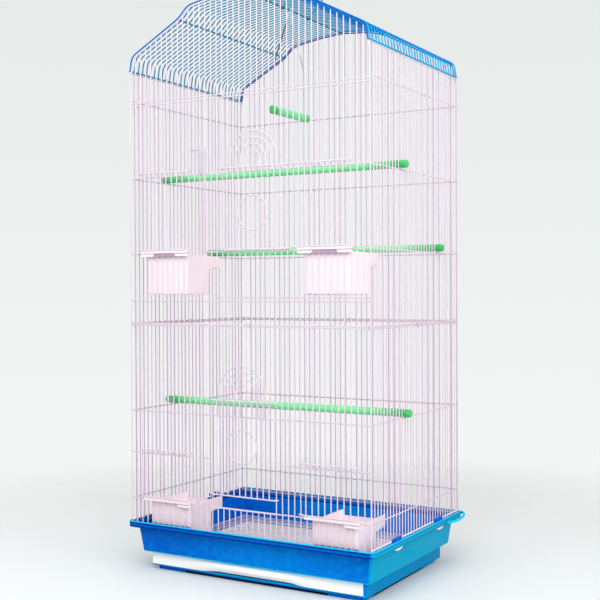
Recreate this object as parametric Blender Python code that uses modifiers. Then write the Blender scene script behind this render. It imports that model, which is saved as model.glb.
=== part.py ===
# Tall wire bird cage: two tiers of wire panels, a wire roof and a plastic base with a tray.
# Metres, +Z up. The front faces -Y and +X is to its right.
# The origin lies on the floor under the middle of the base.

import bmesh
import bpy
from math import cos, pi, radians, sin
from mathutils import Matrix, Vector

# Clearances and wire thicknesses
GAP = 0.0003              # between pieces that touch
WIRE = 0.0019             # uprights and door bars
RAIL = 0.0024             # level wires that hold the uprights
ROOF_WIRE = 0.0020
ROOF_ROD = 0.0028
HOOK_WIRE = 0.0022        # swing and carrying handle
GRILLE_WIRE = 0.0018

# Cage plan, between the centres of the corner posts
CAGE_WIDTH = 0.455
CAGE_DEPTH = 0.340
FRONT_PITCHES = 41
SIDE_PITCHES = 31

# Base
RIM_TOP = 0.0862
RIM_OVERHANG = 0.0075     # rim edge outside the corner posts, left and right
RIM_DEPTH_OVERHANG = 0.0080
RIM_HEIGHT = 0.0100
RIM_WALL = 0.0025
RIM_CORNER = 0.0140
RIM_BEAD = 0.0034         # width of the rim's raised edge
SEAT = 0.0812             # ledge behind it, on which the cage stands
SKIRT_SETBACK = 0.0115    # skirt behind the rim edge, left and right
SKIRT_DEPTH_SETBACK = 0.0155
SKIRT_BOTTOM = 0.0320
SKIRT_DRAFT = 0.0060      # how far the skirt leans in towards its foot
INSET_SETBACK = 0.0105    # drawer housing behind the foot of the skirt
PLINTH_HEIGHT = 0.0075
PLINTH_SETBACK = 0.0080
SLOT_SILL = 0.0028        # lip of the housing under the tray's slot
BASE_WALL = 0.0030
RUNNER_WIDTH = 0.0060     # ribs the tray runs on
LUG_WIRE = 0.0024         # loop that stands out from the rim at each rear corner
# its route, measured outwards, backwards and upwards from the rim's rear corner
LUG_ROUTE = ((-0.0010, -0.0720, -0.0082), (0.0055, -0.0630, -0.0084), (0.0100, -0.0470, -0.0077),
             (0.0112, -0.0290, -0.0062), (0.0085, -0.0120, -0.0047), (0.0025, -0.0025, -0.0032),
             (-0.0050, -0.0035, -0.0027))
RING_CORNER_STEPS = 3

# Tray that slides out at the front, and the grille above it
TRAY_WALL = 0.0016
TRAY_RUN = 0.0012         # side play in its slot
TRAY_FRONT_WALL = 0.0025
TRAY_ARCH = 0.0045        # height of the finger arch under the front
TRAY_ARCH_WIDTH = 0.2050
TRAY_ARCH_FLAT = 0.1300   # its level middle
TRAY_BULGE_WIDTH = 0.3300
TRAY_BULGE = 0.0075
GRILLE_PITCH = 0.0110
GRILLE_MARGIN = 0.0078    # between the skirt's face and the grille's outer wires

# Heights of the level wires
LOW_SILL = 0.1249
LOW_FEEDER_HEAD = 0.2030
LOW_HEAD = 0.2743
SEAM = 0.4200
TIE_WIRE = 0.4600
TIE_WIRE_STEP = 0.0062
UPPER_SILL = 0.5402
UPPER_HEAD = 0.6676
TOP_BRACE = 0.7996
FRONT_BRACE_DROP = 0.0044  # the front's two top wires hang under the other walls' one
FRONT_BRACE_STEP = 0.0056

# Roof outline; only its left half has the waist below the shoulder
EAVE = 0.8510
EAVE_BEND = 0.8750
EAVE_LEAN = 0.0035
WAIST_X = 0.1260
WAIST = 0.9270
SHOULDER_X = 0.1065
SHOULDER = 0.9465
CROWN_X = 0.0560
CROWN = 0.9550
RIGHT_SHOULDER_X = 0.0870
RIGHT_SHOULDER = 0.9475
ROOF_TOP = 0.9600
GABLE_DROP = 0.0033       # gable wire under the roof's end wire
GABLE_WIRE = 0.0028
GABLE_START = 0.0120      # where the gable wire leaves the post, under the eave

# Doors
MAIN_PITCHES = 11
FEEDER_PITCHES = 9
FEEDER_INSET = 2          # uprights between a corner post and a feeder door
UPPER_RIGHT_INSET = 3
UPPER_MAIN_SHIFT = 2      # the upper main door sits this many uprights to the right
DOOR_STANDOFF = 0.0038    # door bars in front of the uprights
DOOR_BAR = 0.0022
DOOR_LAP = 0.0065         # top bar above the head of its opening
MAIN_LIFT = 0.0195        # the lower main door stands this far open
RING_RADIUS = 0.0275
RING_OFFSET = 0.0040      # ring's middle above the door's middle
UPPER_RING_OFFSET = -0.0076
FAN_RADII = (0.0440, 0.0335, 0.0230, 0.0125)
FAN_LEG = 0.0130
FAN_STEPS = 8
RING_STEPS = 18
TIE_START = 16            # upright where the second tie wire starts

# Cups that hang in the feeder doors
CUP_WIDTH = 0.0820
CUP_HEIGHT = 0.0700
CUP_DEPTH = 0.0670
CUP_WALL = 0.0020
CUP_STEP = 0.0370         # below the sill the lower cups step in, over the base's ledge
CUP_STEP_IN = 0.0095
CUP_STEP_FOOT = 0.0125
SPOUT_REACH = 0.0335
SPOUT_UNDER = 0.0262      # underside of the spout at the cup and at its end, below the sill
SPOUT_END_UNDER = 0.0240
SPOUT_LIP = 0.0130        # top of the spout's end wall, below the sill
SPOUT_SIDE = 0.0040       # top of its side walls, below the sill
CUP_SHOULDER = 0.0045     # depth of the raised strip along the cup's front
# how far each cup hangs to the right of its doorway's middle
LOWER_LEFT_CUP_SHIFT = 0.0025
LOWER_RIGHT_CUP_SHIFT = 0.0049
UPPER_LEFT_CUP_SHIFT = 0.0
UPPER_RIGHT_CUP_SHIFT = 0.0056
LIP_WIDTH = 0.0960
LIP_HEIGHT = 0.0120
LIP_NOTCH = 0.0470
NOTCH_SLANT = 0.0025
NOTCH_DEPTH = 0.0065

# Perches
PERCH_RADIUS = 0.0063
PERCH_NECK = 0.0041
PERCH_KNOB = 0.0120       # length of the end that stands outside the wires
LOW_PERCH_BAY = 10        # gap between side uprights, counted from the front
MIDDLE_PERCH_BAY = 22
HIGH_PERCH_BAY = 9

# Swing
SWING_BAY = 13
SWING_SPAN = 0.0980
SWING_SHOULDER = 0.8610
SWING_BAR = 0.7795
SWING_BAR_RADIUS = 0.0070
SWING_BAR_NECK = 0.0045
SWING_KNOB = 0.0088

# Carrying handle
HANDLE_BAYS = (11, 19)
HANDLE_REACH = 0.0580
HANDLE_CORNER = 0.0120
HANDLE_LEAN = radians(45)
EYE_TURN = radians(280)
SQUARE_CORNER = 1.25      # corner of a square wire against the radius of the round one it stands for

# Clips
SEAM_CLIP_LENGTH = 0.0070
SEAM_CLIP_WALL = 0.0010
BASE_CLIP_LENGTH = 0.0270
BASE_CLIP_BAYS = (7, 22)
BASE_CLIP_WALL = 0.0028
BASE_CLIP_HEIGHT = 0.0060
BASE_CLIP_TOOTH = 0.0070
BASE_CLIP_BACK = 0.0055   # its outer face, outside the foot wire
BASE_CLIP_LEG = (0.0019, 0.0034)
BASE_CLIP_TOE = 0.0068
BASE_CLIP_TOE_HEIGHT = 0.0022

# Values that follow from the sizes above
HALF_WIDTH = CAGE_WIDTH / 2
HALF_DEPTH = CAGE_DEPTH / 2
PITCH = CAGE_WIDTH / FRONT_PITCHES
SIDE_PITCH = CAGE_DEPTH / SIDE_PITCHES
FOOT_RAIL = SEAT + GAP + RAIL / 2
SLOT_FLOOR = PLINTH_HEIGHT + SLOT_SILL
UPPER_FOOT = SEAM + RAIL + GAP
SIDE_TOP = EAVE - ROOF_ROD / 2 - GAP - RAIL / 2
BRACE_SET = WIRE / 2 + GAP + RAIL / 2       # level braces behind the uprights
RIDGE_ROD = ROOF_TOP - ROOF_WIRE / 2 - GAP - ROOF_ROD / 2
EYE_RADIUS = ROOF_ROD / 2 + GAP + HOOK_WIRE / 2
RIM_X = HALF_WIDTH + RIM_OVERHANG
RIM_Y = HALF_DEPTH + RIM_DEPTH_OVERHANG
SKIRT_X = RIM_X - SKIRT_SETBACK
SKIRT_Y = RIM_Y - SKIRT_DEPTH_SETBACK
INSET_X = SKIRT_X - SKIRT_DRAFT - INSET_SETBACK
INSET_Y = SKIRT_Y - SKIRT_DRAFT - INSET_SETBACK
LEDGE = SKIRT_BOTTOM + BASE_WALL
CAVITY_X = INSET_X - PLINTH_SETBACK - BASE_WALL
CAVITY_Y = INSET_Y - PLINTH_SETBACK - BASE_WALL
SLOT_X = CAVITY_X - BASE_WALL               # half the width of the tray's slot
LIP_TOP = RAIL / 2 + GAP + CUP_WALL         # above the sill that carries the cup

# Colours and finishes
FINISHES = {
    "white_wire": ((0.86, 0.80, 0.84), 0.35, 0.0),
    "blue_wire": ((0.02, 0.22, 0.72), 0.30, 0.0),
    "blue_plastic": ((0.01, 0.16, 0.70), 0.32, 0.0),
    "white_plastic": ((0.86, 0.84, 0.86), 0.40, 0.0),
    "pink_white_plastic": ((0.88, 0.80, 0.85), 0.38, 0.0),
    "green_plastic": ((0.06, 0.62, 0.22), 0.35, 0.0),
    "clip_metal": ((0.70, 0.64, 0.70), 0.30, 0.6),
}


def clear_scene():
    for item in list(bpy.data.objects):
        bpy.data.objects.remove(item, do_unlink=True)


def make_collection(name):
    collection = bpy.data.collections.new(name)
    bpy.context.scene.collection.children.link(collection)
    return collection


clear_scene()
PARTS = make_collection("bird_cage")
HELPERS = make_collection("joined_shapes")


def finish_material(finish, node):
    color, roughness, metallic = FINISHES[finish]
    material = bpy.data.materials.new(finish + "_" + node)
    material.use_nodes = True
    shader = material.node_tree.nodes["Principled BSDF"]
    shader.inputs["Base Color"].default_value = (*color, 1.0)
    shader.inputs["Roughness"].default_value = roughness
    shader.inputs["Metallic"].default_value = metallic
    return material


def mesh_from(bm, name):
    bmesh.ops.recalc_face_normals(bm, faces=bm.faces)
    mesh = bpy.data.meshes.new(name)
    bm.to_mesh(mesh)
    bm.free()
    return mesh


def add_part(name, bm, finish, place=Matrix.Identity(4), smooth=False):
    part = bpy.data.objects.new(name, mesh_from(bm, name))
    part.matrix_world = place
    part.data.materials.append(finish_material(finish, name))
    if smooth:
        part.data.shade_smooth()
        part.data.set_sharp_from_angle(angle=radians(35))
    PARTS.objects.link(part)
    return part


def combine(part, bm, operation="UNION"):
    # Joins a second shape to a part, or cuts it out of the part.
    helper = bpy.data.objects.new(part.name + "_helper", mesh_from(bm, part.name + "_helper"))
    helper.matrix_world = part.matrix_world
    helper.hide_render = True
    helper.display_type = "WIRE"
    HELPERS.objects.link(helper)
    join = part.modifiers.new(operation.lower(), "BOOLEAN")
    join.operation = operation
    join.solver = "EXACT"
    join.object = helper


def box(bm, low, high):
    low = Vector(low)
    high = Vector(high)
    place = Matrix.Translation((low + high) / 2) @ Matrix.Diagonal((*(high - low), 1.0))
    bmesh.ops.create_cube(bm, size=1.0, matrix=place)


def bar_x(bm, x0, x1, y, z, thick):
    box(bm, (x0, y - thick / 2, z - thick / 2), (x1, y + thick / 2, z + thick / 2))


def bar_y(bm, y0, y1, x, z, thick):
    box(bm, (x - thick / 2, y0, z - thick / 2), (x + thick / 2, y1, z + thick / 2))


def bar_z(bm, z0, z1, x, y, thick):
    box(bm, (x - thick / 2, y - thick / 2, z0), (x + thick / 2, y + thick / 2, z1))


def rod_y(bm, y0, y1, x, z, radius, sides=6):
    turn = Matrix.Translation((x, (y0 + y1) / 2, z)) @ Matrix.Rotation(pi / 2, 4, "X")
    bmesh.ops.create_cone(bm, cap_ends=True, segments=sides, radius1=radius, radius2=radius,
                          depth=y1 - y0, matrix=turn @ Matrix.Rotation(pi / sides, 4, "Z"))


def wires(bm, routes, thick, sides=4, closed=False, thicker=()):
    # Bent wires along routes of points, square ones turned flat side on.
    # Routes whose number is in thicker are 1.2 times as thick.
    curve = bpy.data.curves.new("wires", "CURVE")
    curve.dimensions = "3D"
    curve.bevel_depth = thick / 2 * (SQUARE_CORNER if sides == 4 else 1.0)
    curve.bevel_resolution = (sides - 4) // 2
    curve.use_fill_caps = True
    for number, route in enumerate(routes):
        spline = curve.splines.new("POLY")
        spline.points.add(len(route) - 1)
        spline.use_cyclic_u = closed
        for point, place in zip(spline.points, route):
            point.co = (*place, 1.0)
            point.radius = 1.2 if number in thicker else 1.0
            point.tilt = pi / sides
    holder = bpy.data.objects.new("wires", curve)
    HELPERS.objects.link(holder)
    graph = bpy.context.evaluated_depsgraph_get()
    mesh = bpy.data.meshes.new_from_object(holder.evaluated_get(graph))
    added = bmesh.new()
    added.from_mesh(mesh)
    bmesh.ops.remove_doubles(added, verts=added.verts, dist=0.00002)
    added.to_mesh(mesh)
    added.free()
    bm.from_mesh(mesh)
    bpy.data.objects.remove(holder, do_unlink=True)
    bpy.data.meshes.remove(mesh)


def prism(bm, outline, half, place):
    # A flat outline drawn in X and Y, thickened by half on both sides, then placed.
    curve = bpy.data.curves.new("outline", "CURVE")
    curve.dimensions = "2D"
    curve.fill_mode = "BOTH"
    curve.extrude = half
    spline = curve.splines.new("POLY")
    spline.points.add(len(outline) - 1)
    spline.use_cyclic_u = True
    for point, (x, y) in zip(spline.points, outline):
        point.co = (x, y, 0.0, 1.0)
    holder = bpy.data.objects.new("outline", curve)
    HELPERS.objects.link(holder)
    graph = bpy.context.evaluated_depsgraph_get()
    mesh = bpy.data.meshes.new_from_object(holder.evaluated_get(graph))
    added = bmesh.new()
    added.from_mesh(mesh)
    bmesh.ops.remove_doubles(added, verts=added.verts, dist=0.00002)
    bmesh.ops.transform(added, matrix=place, verts=added.verts)
    added.to_mesh(mesh)
    added.free()
    bm.from_mesh(mesh)
    bpy.data.objects.remove(holder, do_unlink=True)
    bpy.data.meshes.remove(mesh)


def upright_x(number):
    return -HALF_WIDTH + PITCH * number


def bay_y(number):
    # Middle of the gap between two side uprights, counted from the front.
    return -HALF_DEPTH + SIDE_PITCH * (number + 0.5)


def roof_outline():
    bend = HALF_WIDTH - EAVE_LEAN
    left = [(-HALF_WIDTH, EAVE), (-bend, EAVE_BEND), (-WAIST_X, WAIST), (-SHOULDER_X, SHOULDER),
            (-CROWN_X, CROWN)]
    right = [(CROWN_X, CROWN), (RIGHT_SHOULDER_X, RIGHT_SHOULDER), (bend, EAVE_BEND), (HALF_WIDTH, EAVE)]
    return left + [(0.0, ROOF_TOP)] + right


def inner_outline(distance):
    # The roof outline moved inwards by a distance, square to its stretches.
    points = [Vector(point) for point in roof_outline()]
    moved = []
    for number, point in enumerate(points):
        before = points[max(number - 1, 0)]
        after = points[min(number + 1, len(points) - 1)]
        first = (point - before).normalized() if number else (after - point).normalized()
        second = (after - point).normalized() if number < len(points) - 1 else first
        normal = Vector((first.y + second.y, -first.x - second.x)).normalized()
        stretch = 1 / max(normal.dot(Vector((first.y, -first.x))), 0.5)
        moved.append(point + normal * distance * stretch)
    return moved


def gable_route():
    inner = inner_outline(GABLE_DROP)
    start = Vector((-HALF_WIDTH, EAVE - GABLE_START))
    return [start] + inner + [Vector((HALF_WIDTH, EAVE - GABLE_START))]


def gable_height(x):
    route = gable_route()
    for left, right in zip(route, route[1:]):
        if left.x <= x <= right.x and right.x > left.x:
            return left.y + (right.y - left.y) * (x - left.x) / (right.x - left.x)
    return route[0].y


def main_jambs(shift):
    first = (FRONT_PITCHES - MAIN_PITCHES) // 2 + shift
    return first, first + MAIN_PITCHES


def left_feeder_jambs():
    return FEEDER_INSET, FEEDER_INSET + FEEDER_PITCHES


def right_feeder_jambs(inset):
    return FRONT_PITCHES - inset - FEEDER_PITCHES, FRONT_PITCHES - inset


def middle_of(jambs):
    return (upright_x(jambs[0]) + upright_x(jambs[1])) / 2


LOW_OPENINGS = {
    "main": (main_jambs(0), LOW_SILL, LOW_HEAD),
    "left": (left_feeder_jambs(), LOW_SILL, LOW_FEEDER_HEAD),
    "right": (right_feeder_jambs(FEEDER_INSET), LOW_SILL, LOW_FEEDER_HEAD),
}
UPPER_OPENINGS = {
    "main": (main_jambs(UPPER_MAIN_SHIFT), UPPER_SILL, UPPER_HEAD),
    "left": (left_feeder_jambs(), UPPER_SILL, UPPER_HEAD),
    "right": (right_feeder_jambs(UPPER_RIGHT_INSET), UPPER_SILL, UPPER_HEAD),
}


def brace(rails, welds, x0, x1, z, joints):
    # A level wire behind the uprights, welded to the uprights at the places named.
    bar_x(rails, x0, x1, BRACE_SET, z, RAIL)
    for x in joints:
        box(welds, (x - WIRE * 0.7, 0.0, z - RAIL * 0.35), (x + WIRE * 0.7, BRACE_SET, z + RAIL * 0.35))


def front_or_back(name, foot, top, openings, braces, place, turn=1):
    # Drawn as the front panel, in its own plane: outside is -Y. top is a height or None for a gable.
    # turn is -1 for the back, whose gable is seen from behind.
    posts = bmesh.new()
    rails = bmesh.new()
    welds = bmesh.new()
    for number in range(FRONT_PITCHES + 1):
        x = upright_x(number)
        end = top
        if not top:
            inner = 0 < number < FRONT_PITCHES
            end = gable_height(turn * x) if inner else EAVE - GABLE_START + RAIL / 2
        spans = [(foot, end)]
        for (first, last), sill, head in openings:
            if first < number < last:
                spans = [(foot, sill), (head, end)]
        for low, high in spans:
            bar_z(posts, low, high, x, 0.0, WIRE)
    reach = HALF_WIDTH + RAIL / 2
    bar_x(rails, -reach, reach, 0.0, foot, RAIL)
    if top:
        bar_x(rails, -reach, reach, 0.0, top, RAIL)
    else:
        wires(rails, [[(turn * p.x, 0.0, p.y) for p in gable_route()]], GABLE_WIRE)
    for (first, last), sill, head in openings:
        for z in (sill, head):
            bar_x(rails, upright_x(first), upright_x(last), 0.0, z, RAIL)
    for x0, x1, z, joints in braces:
        brace(rails, welds, x0, x1, z, joints)
    panel = add_part(name, posts, "white_wire", place)
    combine(panel, rails)
    if braces:
        combine(panel, welds)


def full_brace(z):
    end = HALF_WIDTH + WIRE * 0.6
    return -end, end, z, (-HALF_WIDTH, HALF_WIDTH)


def side_panel(name, foot, top, braces, place):
    # Drawn along X with outside at -Y, between the corner posts of the front and back panels.
    posts = bmesh.new()
    rails = bmesh.new()
    welds = bmesh.new()
    for number in range(1, SIDE_PITCHES):
        bar_z(posts, foot, top, -HALF_DEPTH + SIDE_PITCH * number, 0.0, WIRE)
    reach = HALF_DEPTH - RAIL / 2 - GAP
    for z in (foot, top):
        bar_x(rails, -reach, reach, 0.0, z, RAIL)
    brace_reach = HALF_DEPTH - BRACE_SET - RAIL / 2 - GAP
    last = HALF_DEPTH - SIDE_PITCH
    for z in braces:
        brace(rails, welds, -brace_reach, brace_reach, z, (-last, last))
    panel = add_part(name, posts, "white_wire", place)
    combine(panel, rails)
    combine(panel, welds)


def wall_place(side):
    turns = {"front": 0.0, "right": pi / 2, "back": pi, "left": -pi / 2}
    offsets = {"front": (0, -HALF_DEPTH, 0), "right": (HALF_WIDTH, 0, 0),
               "back": (0, HALF_DEPTH, 0), "left": (-HALF_WIDTH, 0, 0)}
    return Matrix.Translation(offsets[side]) @ Matrix.Rotation(turns[side], 4, "Z")


def make_walls():
    feeder_end = upright_x(main_jambs(0)[0] - 1)
    hook = RAIL * 1.2
    low_front = [full_brace(LOW_SILL), full_brace(LOW_HEAD),
                 (-HALF_WIDTH - WIRE * 0.6, feeder_end + hook, LOW_FEEDER_HEAD, (-HALF_WIDTH, feeder_end)),
                 (-feeder_end - hook, HALF_WIDTH + WIRE * 0.6, LOW_FEEDER_HEAD, (-feeder_end, HALF_WIDTH))]
    tie_x = upright_x(TIE_START)
    front_brace = TOP_BRACE - FRONT_BRACE_DROP
    upper_front = [full_brace(z) for z in (TIE_WIRE, UPPER_SILL, UPPER_HEAD, front_brace,
                                           front_brace - FRONT_BRACE_STEP)]
    upper_front.append((tie_x - hook, HALF_WIDTH + WIRE * 0.6, TIE_WIRE + TIE_WIRE_STEP, (tie_x, HALF_WIDTH)))
    front_or_back("front_lower_panel", FOOT_RAIL, SEAM, LOW_OPENINGS.values(), low_front,
                  wall_place("front"))
    front_or_back("back_lower_panel", FOOT_RAIL, SEAM, (), [full_brace(LOW_SILL), full_brace(LOW_HEAD)],
                  wall_place("back"))
    front_or_back("front_upper_panel", UPPER_FOOT, None, UPPER_OPENINGS.values(), upper_front,
                  wall_place("front"))
    front_or_back("back_upper_panel", UPPER_FOOT, None, (),
                  [full_brace(z) for z in (UPPER_SILL, UPPER_HEAD, TOP_BRACE)], wall_place("back"), -1)
    for side in ("left", "right"):
        side_panel(side + "_lower_panel", FOOT_RAIL, SEAM, (LOW_SILL, LOW_HEAD), wall_place(side))
        side_panel(side + "_upper_panel", UPPER_FOOT, SIDE_TOP, (UPPER_SILL, UPPER_HEAD, TOP_BRACE),
                   wall_place(side))


def make_roof():
    ribs = bmesh.new()
    routes = [[(x, -HALF_DEPTH + SIDE_PITCH * number, z) for x, z in roof_outline()]
              for number in range(SIDE_PITCHES + 1)]
    wires(ribs, routes, ROOF_WIRE, thicker=(0, SIDE_PITCHES))
    rods = bmesh.new()
    welds = bmesh.new()
    eave_end = HALF_DEPTH + ROOF_ROD / 2
    for x in (-HALF_WIDTH, HALF_WIDTH):
        bar_y(rods, -eave_end, eave_end, x, EAVE, ROOF_ROD)
    # The other rods run under the ribs, between the gables, each welded to two ribs.
    below = ROOF_TOP - RIDGE_ROD
    end = HALF_DEPTH - GABLE_WIRE / 2 - GAP
    waist = inner_outline(below)[2]
    shoulder = inner_outline(below)[7]
    for x, z, rib_x, rib_z in ((0.0, RIDGE_ROD, 0.0, ROOF_TOP), (waist.x, waist.y, -WAIST_X, WAIST),
                               (shoulder.x, shoulder.y, RIGHT_SHOULDER_X, RIGHT_SHOULDER)):
        rod_y(rods, -end, end, x, z, ROOF_ROD / 2)
        for y in (SIDE_PITCH - HALF_DEPTH, HALF_DEPTH - SIDE_PITCH):
            middle = Vector(((x + rib_x) / 2, y, (z + rib_z) / 2))
            half = Vector((ROOF_WIRE * 0.4, ROOF_WIRE * 0.4, below / 2))
            box(welds, middle - half, middle + half)
    roof = add_part("roof", ribs, "blue_wire")
    combine(roof, rods)
    combine(roof, welds)


def door_frame(posts, bars, jambs, low, high):
    # Uprights and two level bars that hook round the jambs, in the front panel's plane.
    first, last = jambs
    y = -DOOR_STANDOFF
    for number in range(first + 1, last):
        bar_z(posts, low, high, upright_x(number), y, WIRE)
    side = WIRE / 2 + GAP + DOOR_BAR / 2
    back = side
    for z in (low, high):
        left = upright_x(first) - side
        right = upright_x(last) + side
        bar_x(bars, left, right, y, z, DOOR_BAR)
        for x, inward in ((left, 1), (right, -1)):
            half = DOOR_BAR * 0.48
            box(bars, (x - half, y, z - half), (x + half, back + half, z + half))
            tip = x + inward * (side * 2)
            box(bars, (min(x, tip), back - half * 0.98, z - half * 0.9),
                (max(x, tip), back + half * 0.98, z + half * 0.9))


def fan_routes(x, z):
    routes = []
    for radius in FAN_RADII:
        arc = [(radius * cos(pi * step / FAN_STEPS), FAN_LEG + radius * sin(pi * step / FAN_STEPS))
               for step in range(FAN_STEPS + 1)]
        legged = [(radius, 0.0)] + arc + [(-radius, 0.0)]
        routes.append([(x + across, -DOOR_STANDOFF, z + up) for across, up in legged])
    return routes


def make_door(name, opening, rest_lift, low_clear, ring_offset=None):
    jambs, sill, head = opening
    low = sill + low_clear + GAP + DOOR_BAR / 2
    high = head + DOOR_LAP
    posts = bmesh.new()
    bars = bmesh.new()
    door_frame(posts, bars, jambs, low, high)
    place = wall_place("front") @ Matrix.Translation((0, 0, rest_lift))
    door = add_part(name, posts, "white_wire", place)
    combine(door, bars)
    door.modifiers[-1].use_self = True
    if ring_offset is not None:
        trim = bmesh.new()
        x = middle_of(jambs)
        wires(trim, fan_routes(x, high), WIRE)
        middle = (low + high) / 2 + ring_offset
        ring = [(x + RING_RADIUS * cos(2 * pi * step / RING_STEPS), -DOOR_STANDOFF - WIRE * 0.8,
                 middle + RING_RADIUS * sin(2 * pi * step / RING_STEPS)) for step in range(RING_STEPS)]
        wires(trim, [ring], WIRE, closed=True)
        combine(door, trim)


def make_doors():
    clear = RAIL / 2
    make_door("lower_main_door", LOW_OPENINGS["main"], MAIN_LIFT, clear, RING_OFFSET)
    make_door("upper_main_door", UPPER_OPENINGS["main"], 0.0, clear, UPPER_RING_OFFSET)
    for side in ("left", "right"):
        make_door("lower_" + side + "_feeder_door", LOW_OPENINGS[side], 0.0, LIP_TOP)
        make_door("upper_" + side + "_feeder_door", UPPER_OPENINGS[side], 0.0, LIP_TOP)


def cup_outlines(stepped):
    # Side views of the cup's outside and of its hollow: distance behind the panel, height over the sill.
    front = BRACE_SET + RAIL / 2 + GAP
    back = front + CUP_DEPTH
    end = back + SPOUT_REACH
    wall = CUP_WALL
    foot = front
    outside = [(front, LIP_TOP)]
    inside = [(front + wall, CUP_HEIGHT), (front + wall, LIP_TOP - wall)]
    if stepped:
        step = front + CUP_STEP_IN
        foot = front + CUP_STEP_FOOT
        outside += [(front, -CUP_STEP), (step, -CUP_STEP - GAP)]
        inside += [(front + wall, wall - CUP_STEP), (step + wall, wall - CUP_STEP - GAP)]
    outside += [(foot, -CUP_HEIGHT), (back, -CUP_HEIGHT), (back, -SPOUT_UNDER), (end, -SPOUT_END_UNDER),
                (end, -SPOUT_SIDE), (front + CUP_SHOULDER + wall, -SPOUT_SIDE),
                (front + CUP_SHOULDER, LIP_TOP)]
    inside += [(foot + wall, wall - CUP_HEIGHT), (back - wall, wall - CUP_HEIGHT),
               (back - wall, wall - SPOUT_UNDER), (end - wall, wall - SPOUT_END_UNDER),
               (end - wall, CUP_HEIGHT)]
    return outside, inside


def make_cup(name, opening, stepped, shift):
    jambs, sill, head = opening
    outside, inside = cup_outlines(stepped)
    front, end = outside[0][0], outside[-1][0]
    # The outline's X runs along the part's Y and its Y along Z; its thickness lies along X.
    side_on = Matrix(((0, 0, 1, 0), (1, 0, 0, 0), (0, 1, 0, 0), (0, 0, 0, 1)))
    place = Matrix.Translation((middle_of(jambs) + shift, -HALF_DEPTH, sill))
    body = bmesh.new()
    prism(body, outside, CUP_WIDTH / 2, side_on)
    cup = add_part(name, body, "pink_white_plastic", place)
    hollow = bmesh.new()
    prism(hollow, inside, CUP_WIDTH / 2 - CUP_WALL, side_on)
    combine(cup, hollow, "DIFFERENCE")
    mouth = bmesh.new()
    half = CUP_WIDTH / 2 - CUP_WALL * 1.2
    box(mouth, (-half, end - CUP_WALL * 2, -SPOUT_LIP), (half, end + CUP_WALL, CUP_HEIGHT))
    combine(cup, mouth, "DIFFERENCE")
    lip_front = -RAIL / 2 - GAP - CUP_WALL
    half = LIP_WIDTH / 2
    notch = LIP_NOTCH / 2
    low = LIP_TOP - LIP_HEIGHT
    lip = [(-half, LIP_TOP), (-half, low), (-notch, low), (NOTCH_SLANT - notch, low + NOTCH_DEPTH),
           (notch - NOTCH_SLANT, low + NOTCH_DEPTH), (notch, low), (half, low), (half, LIP_TOP)]
    hook = bmesh.new()
    front_on = Matrix.Translation((0, lip_front + CUP_WALL / 2, 0)) @ Matrix.Rotation(pi / 2, 4, "X")
    prism(hook, lip, CUP_WALL / 2, front_on)
    shelf = bmesh.new()
    half = CUP_WIDTH / 2 - CUP_WALL / 4
    box(shelf, (-half, lip_front + CUP_WALL / 4, LIP_TOP - CUP_WALL),
        (half, front + CUP_WALL / 2, LIP_TOP - CUP_WALL / 20))
    combine(cup, shelf)
    combine(cup, hook)


def make_cups():
    make_cup("lower_left_cup", LOW_OPENINGS["left"], True, LOWER_LEFT_CUP_SHIFT)
    make_cup("lower_right_cup", LOW_OPENINGS["right"], True, LOWER_RIGHT_CUP_SHIFT)
    make_cup("upper_left_cup", UPPER_OPENINGS["left"], False, UPPER_LEFT_CUP_SHIFT)
    make_cup("upper_right_cup", UPPER_OPENINGS["right"], False, UPPER_RIGHT_CUP_SHIFT)


def turned(name, profile, finish, place):
    # A turned bar: a profile of (length along X, radius), closed on the axis at both ends.
    mesh = bpy.data.meshes.new(name)
    points = [(along, 0.0, radius) for along, radius in profile]
    mesh.from_pydata(points, [(n, n + 1) for n in range(len(points) - 1)], [])
    part = bpy.data.objects.new(name, mesh)
    part.matrix_world = place
    mesh.materials.append(finish_material(finish, name))
    PARTS.objects.link(part)
    screw = part.modifiers.new("turn", "SCREW")
    screw.axis = "X"
    screw.steps = 12
    screw.render_steps = 12
    screw.use_merge_vertices = True
    screw.merge_threshold = 0.00001
    screw.use_normal_calculate = True
    return part


def perch_profile():
    inside = HALF_WIDTH - WIRE / 2 - GAP
    outside = HALF_WIDTH + WIRE / 2 + GAP
    end = outside + PERCH_KNOB
    round_off = PERCH_RADIUS * 0.3
    half = [(inside, PERCH_RADIUS), (inside, PERCH_NECK), (outside, PERCH_NECK), (outside, PERCH_RADIUS),
            (end - round_off, PERCH_RADIUS), (end, PERCH_RADIUS - round_off), (end, 0.0)]
    return [(-along, radius) for along, radius in reversed(half)] + half


def make_perches():
    above = RAIL / 2 + GAP + PERCH_RADIUS
    for name, bay, rail in (("low_perch", LOW_PERCH_BAY, LOW_HEAD),
                            ("middle_perch", MIDDLE_PERCH_BAY, UPPER_SILL),
                            ("high_perch", HIGH_PERCH_BAY, UPPER_HEAD)):
        turned(name, perch_profile(), "green_plastic", Matrix.Translation((0, bay_y(bay), rail + above)))


def eye(radius, start, turn, steps):
    # Points of a bent eye in the XZ plane, round the origin.
    angles = [start + turn * step / steps for step in range(steps + 1)]
    return [Vector((radius * sin(angle), 0.0, radius * cos(angle))) for angle in angles]


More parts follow.
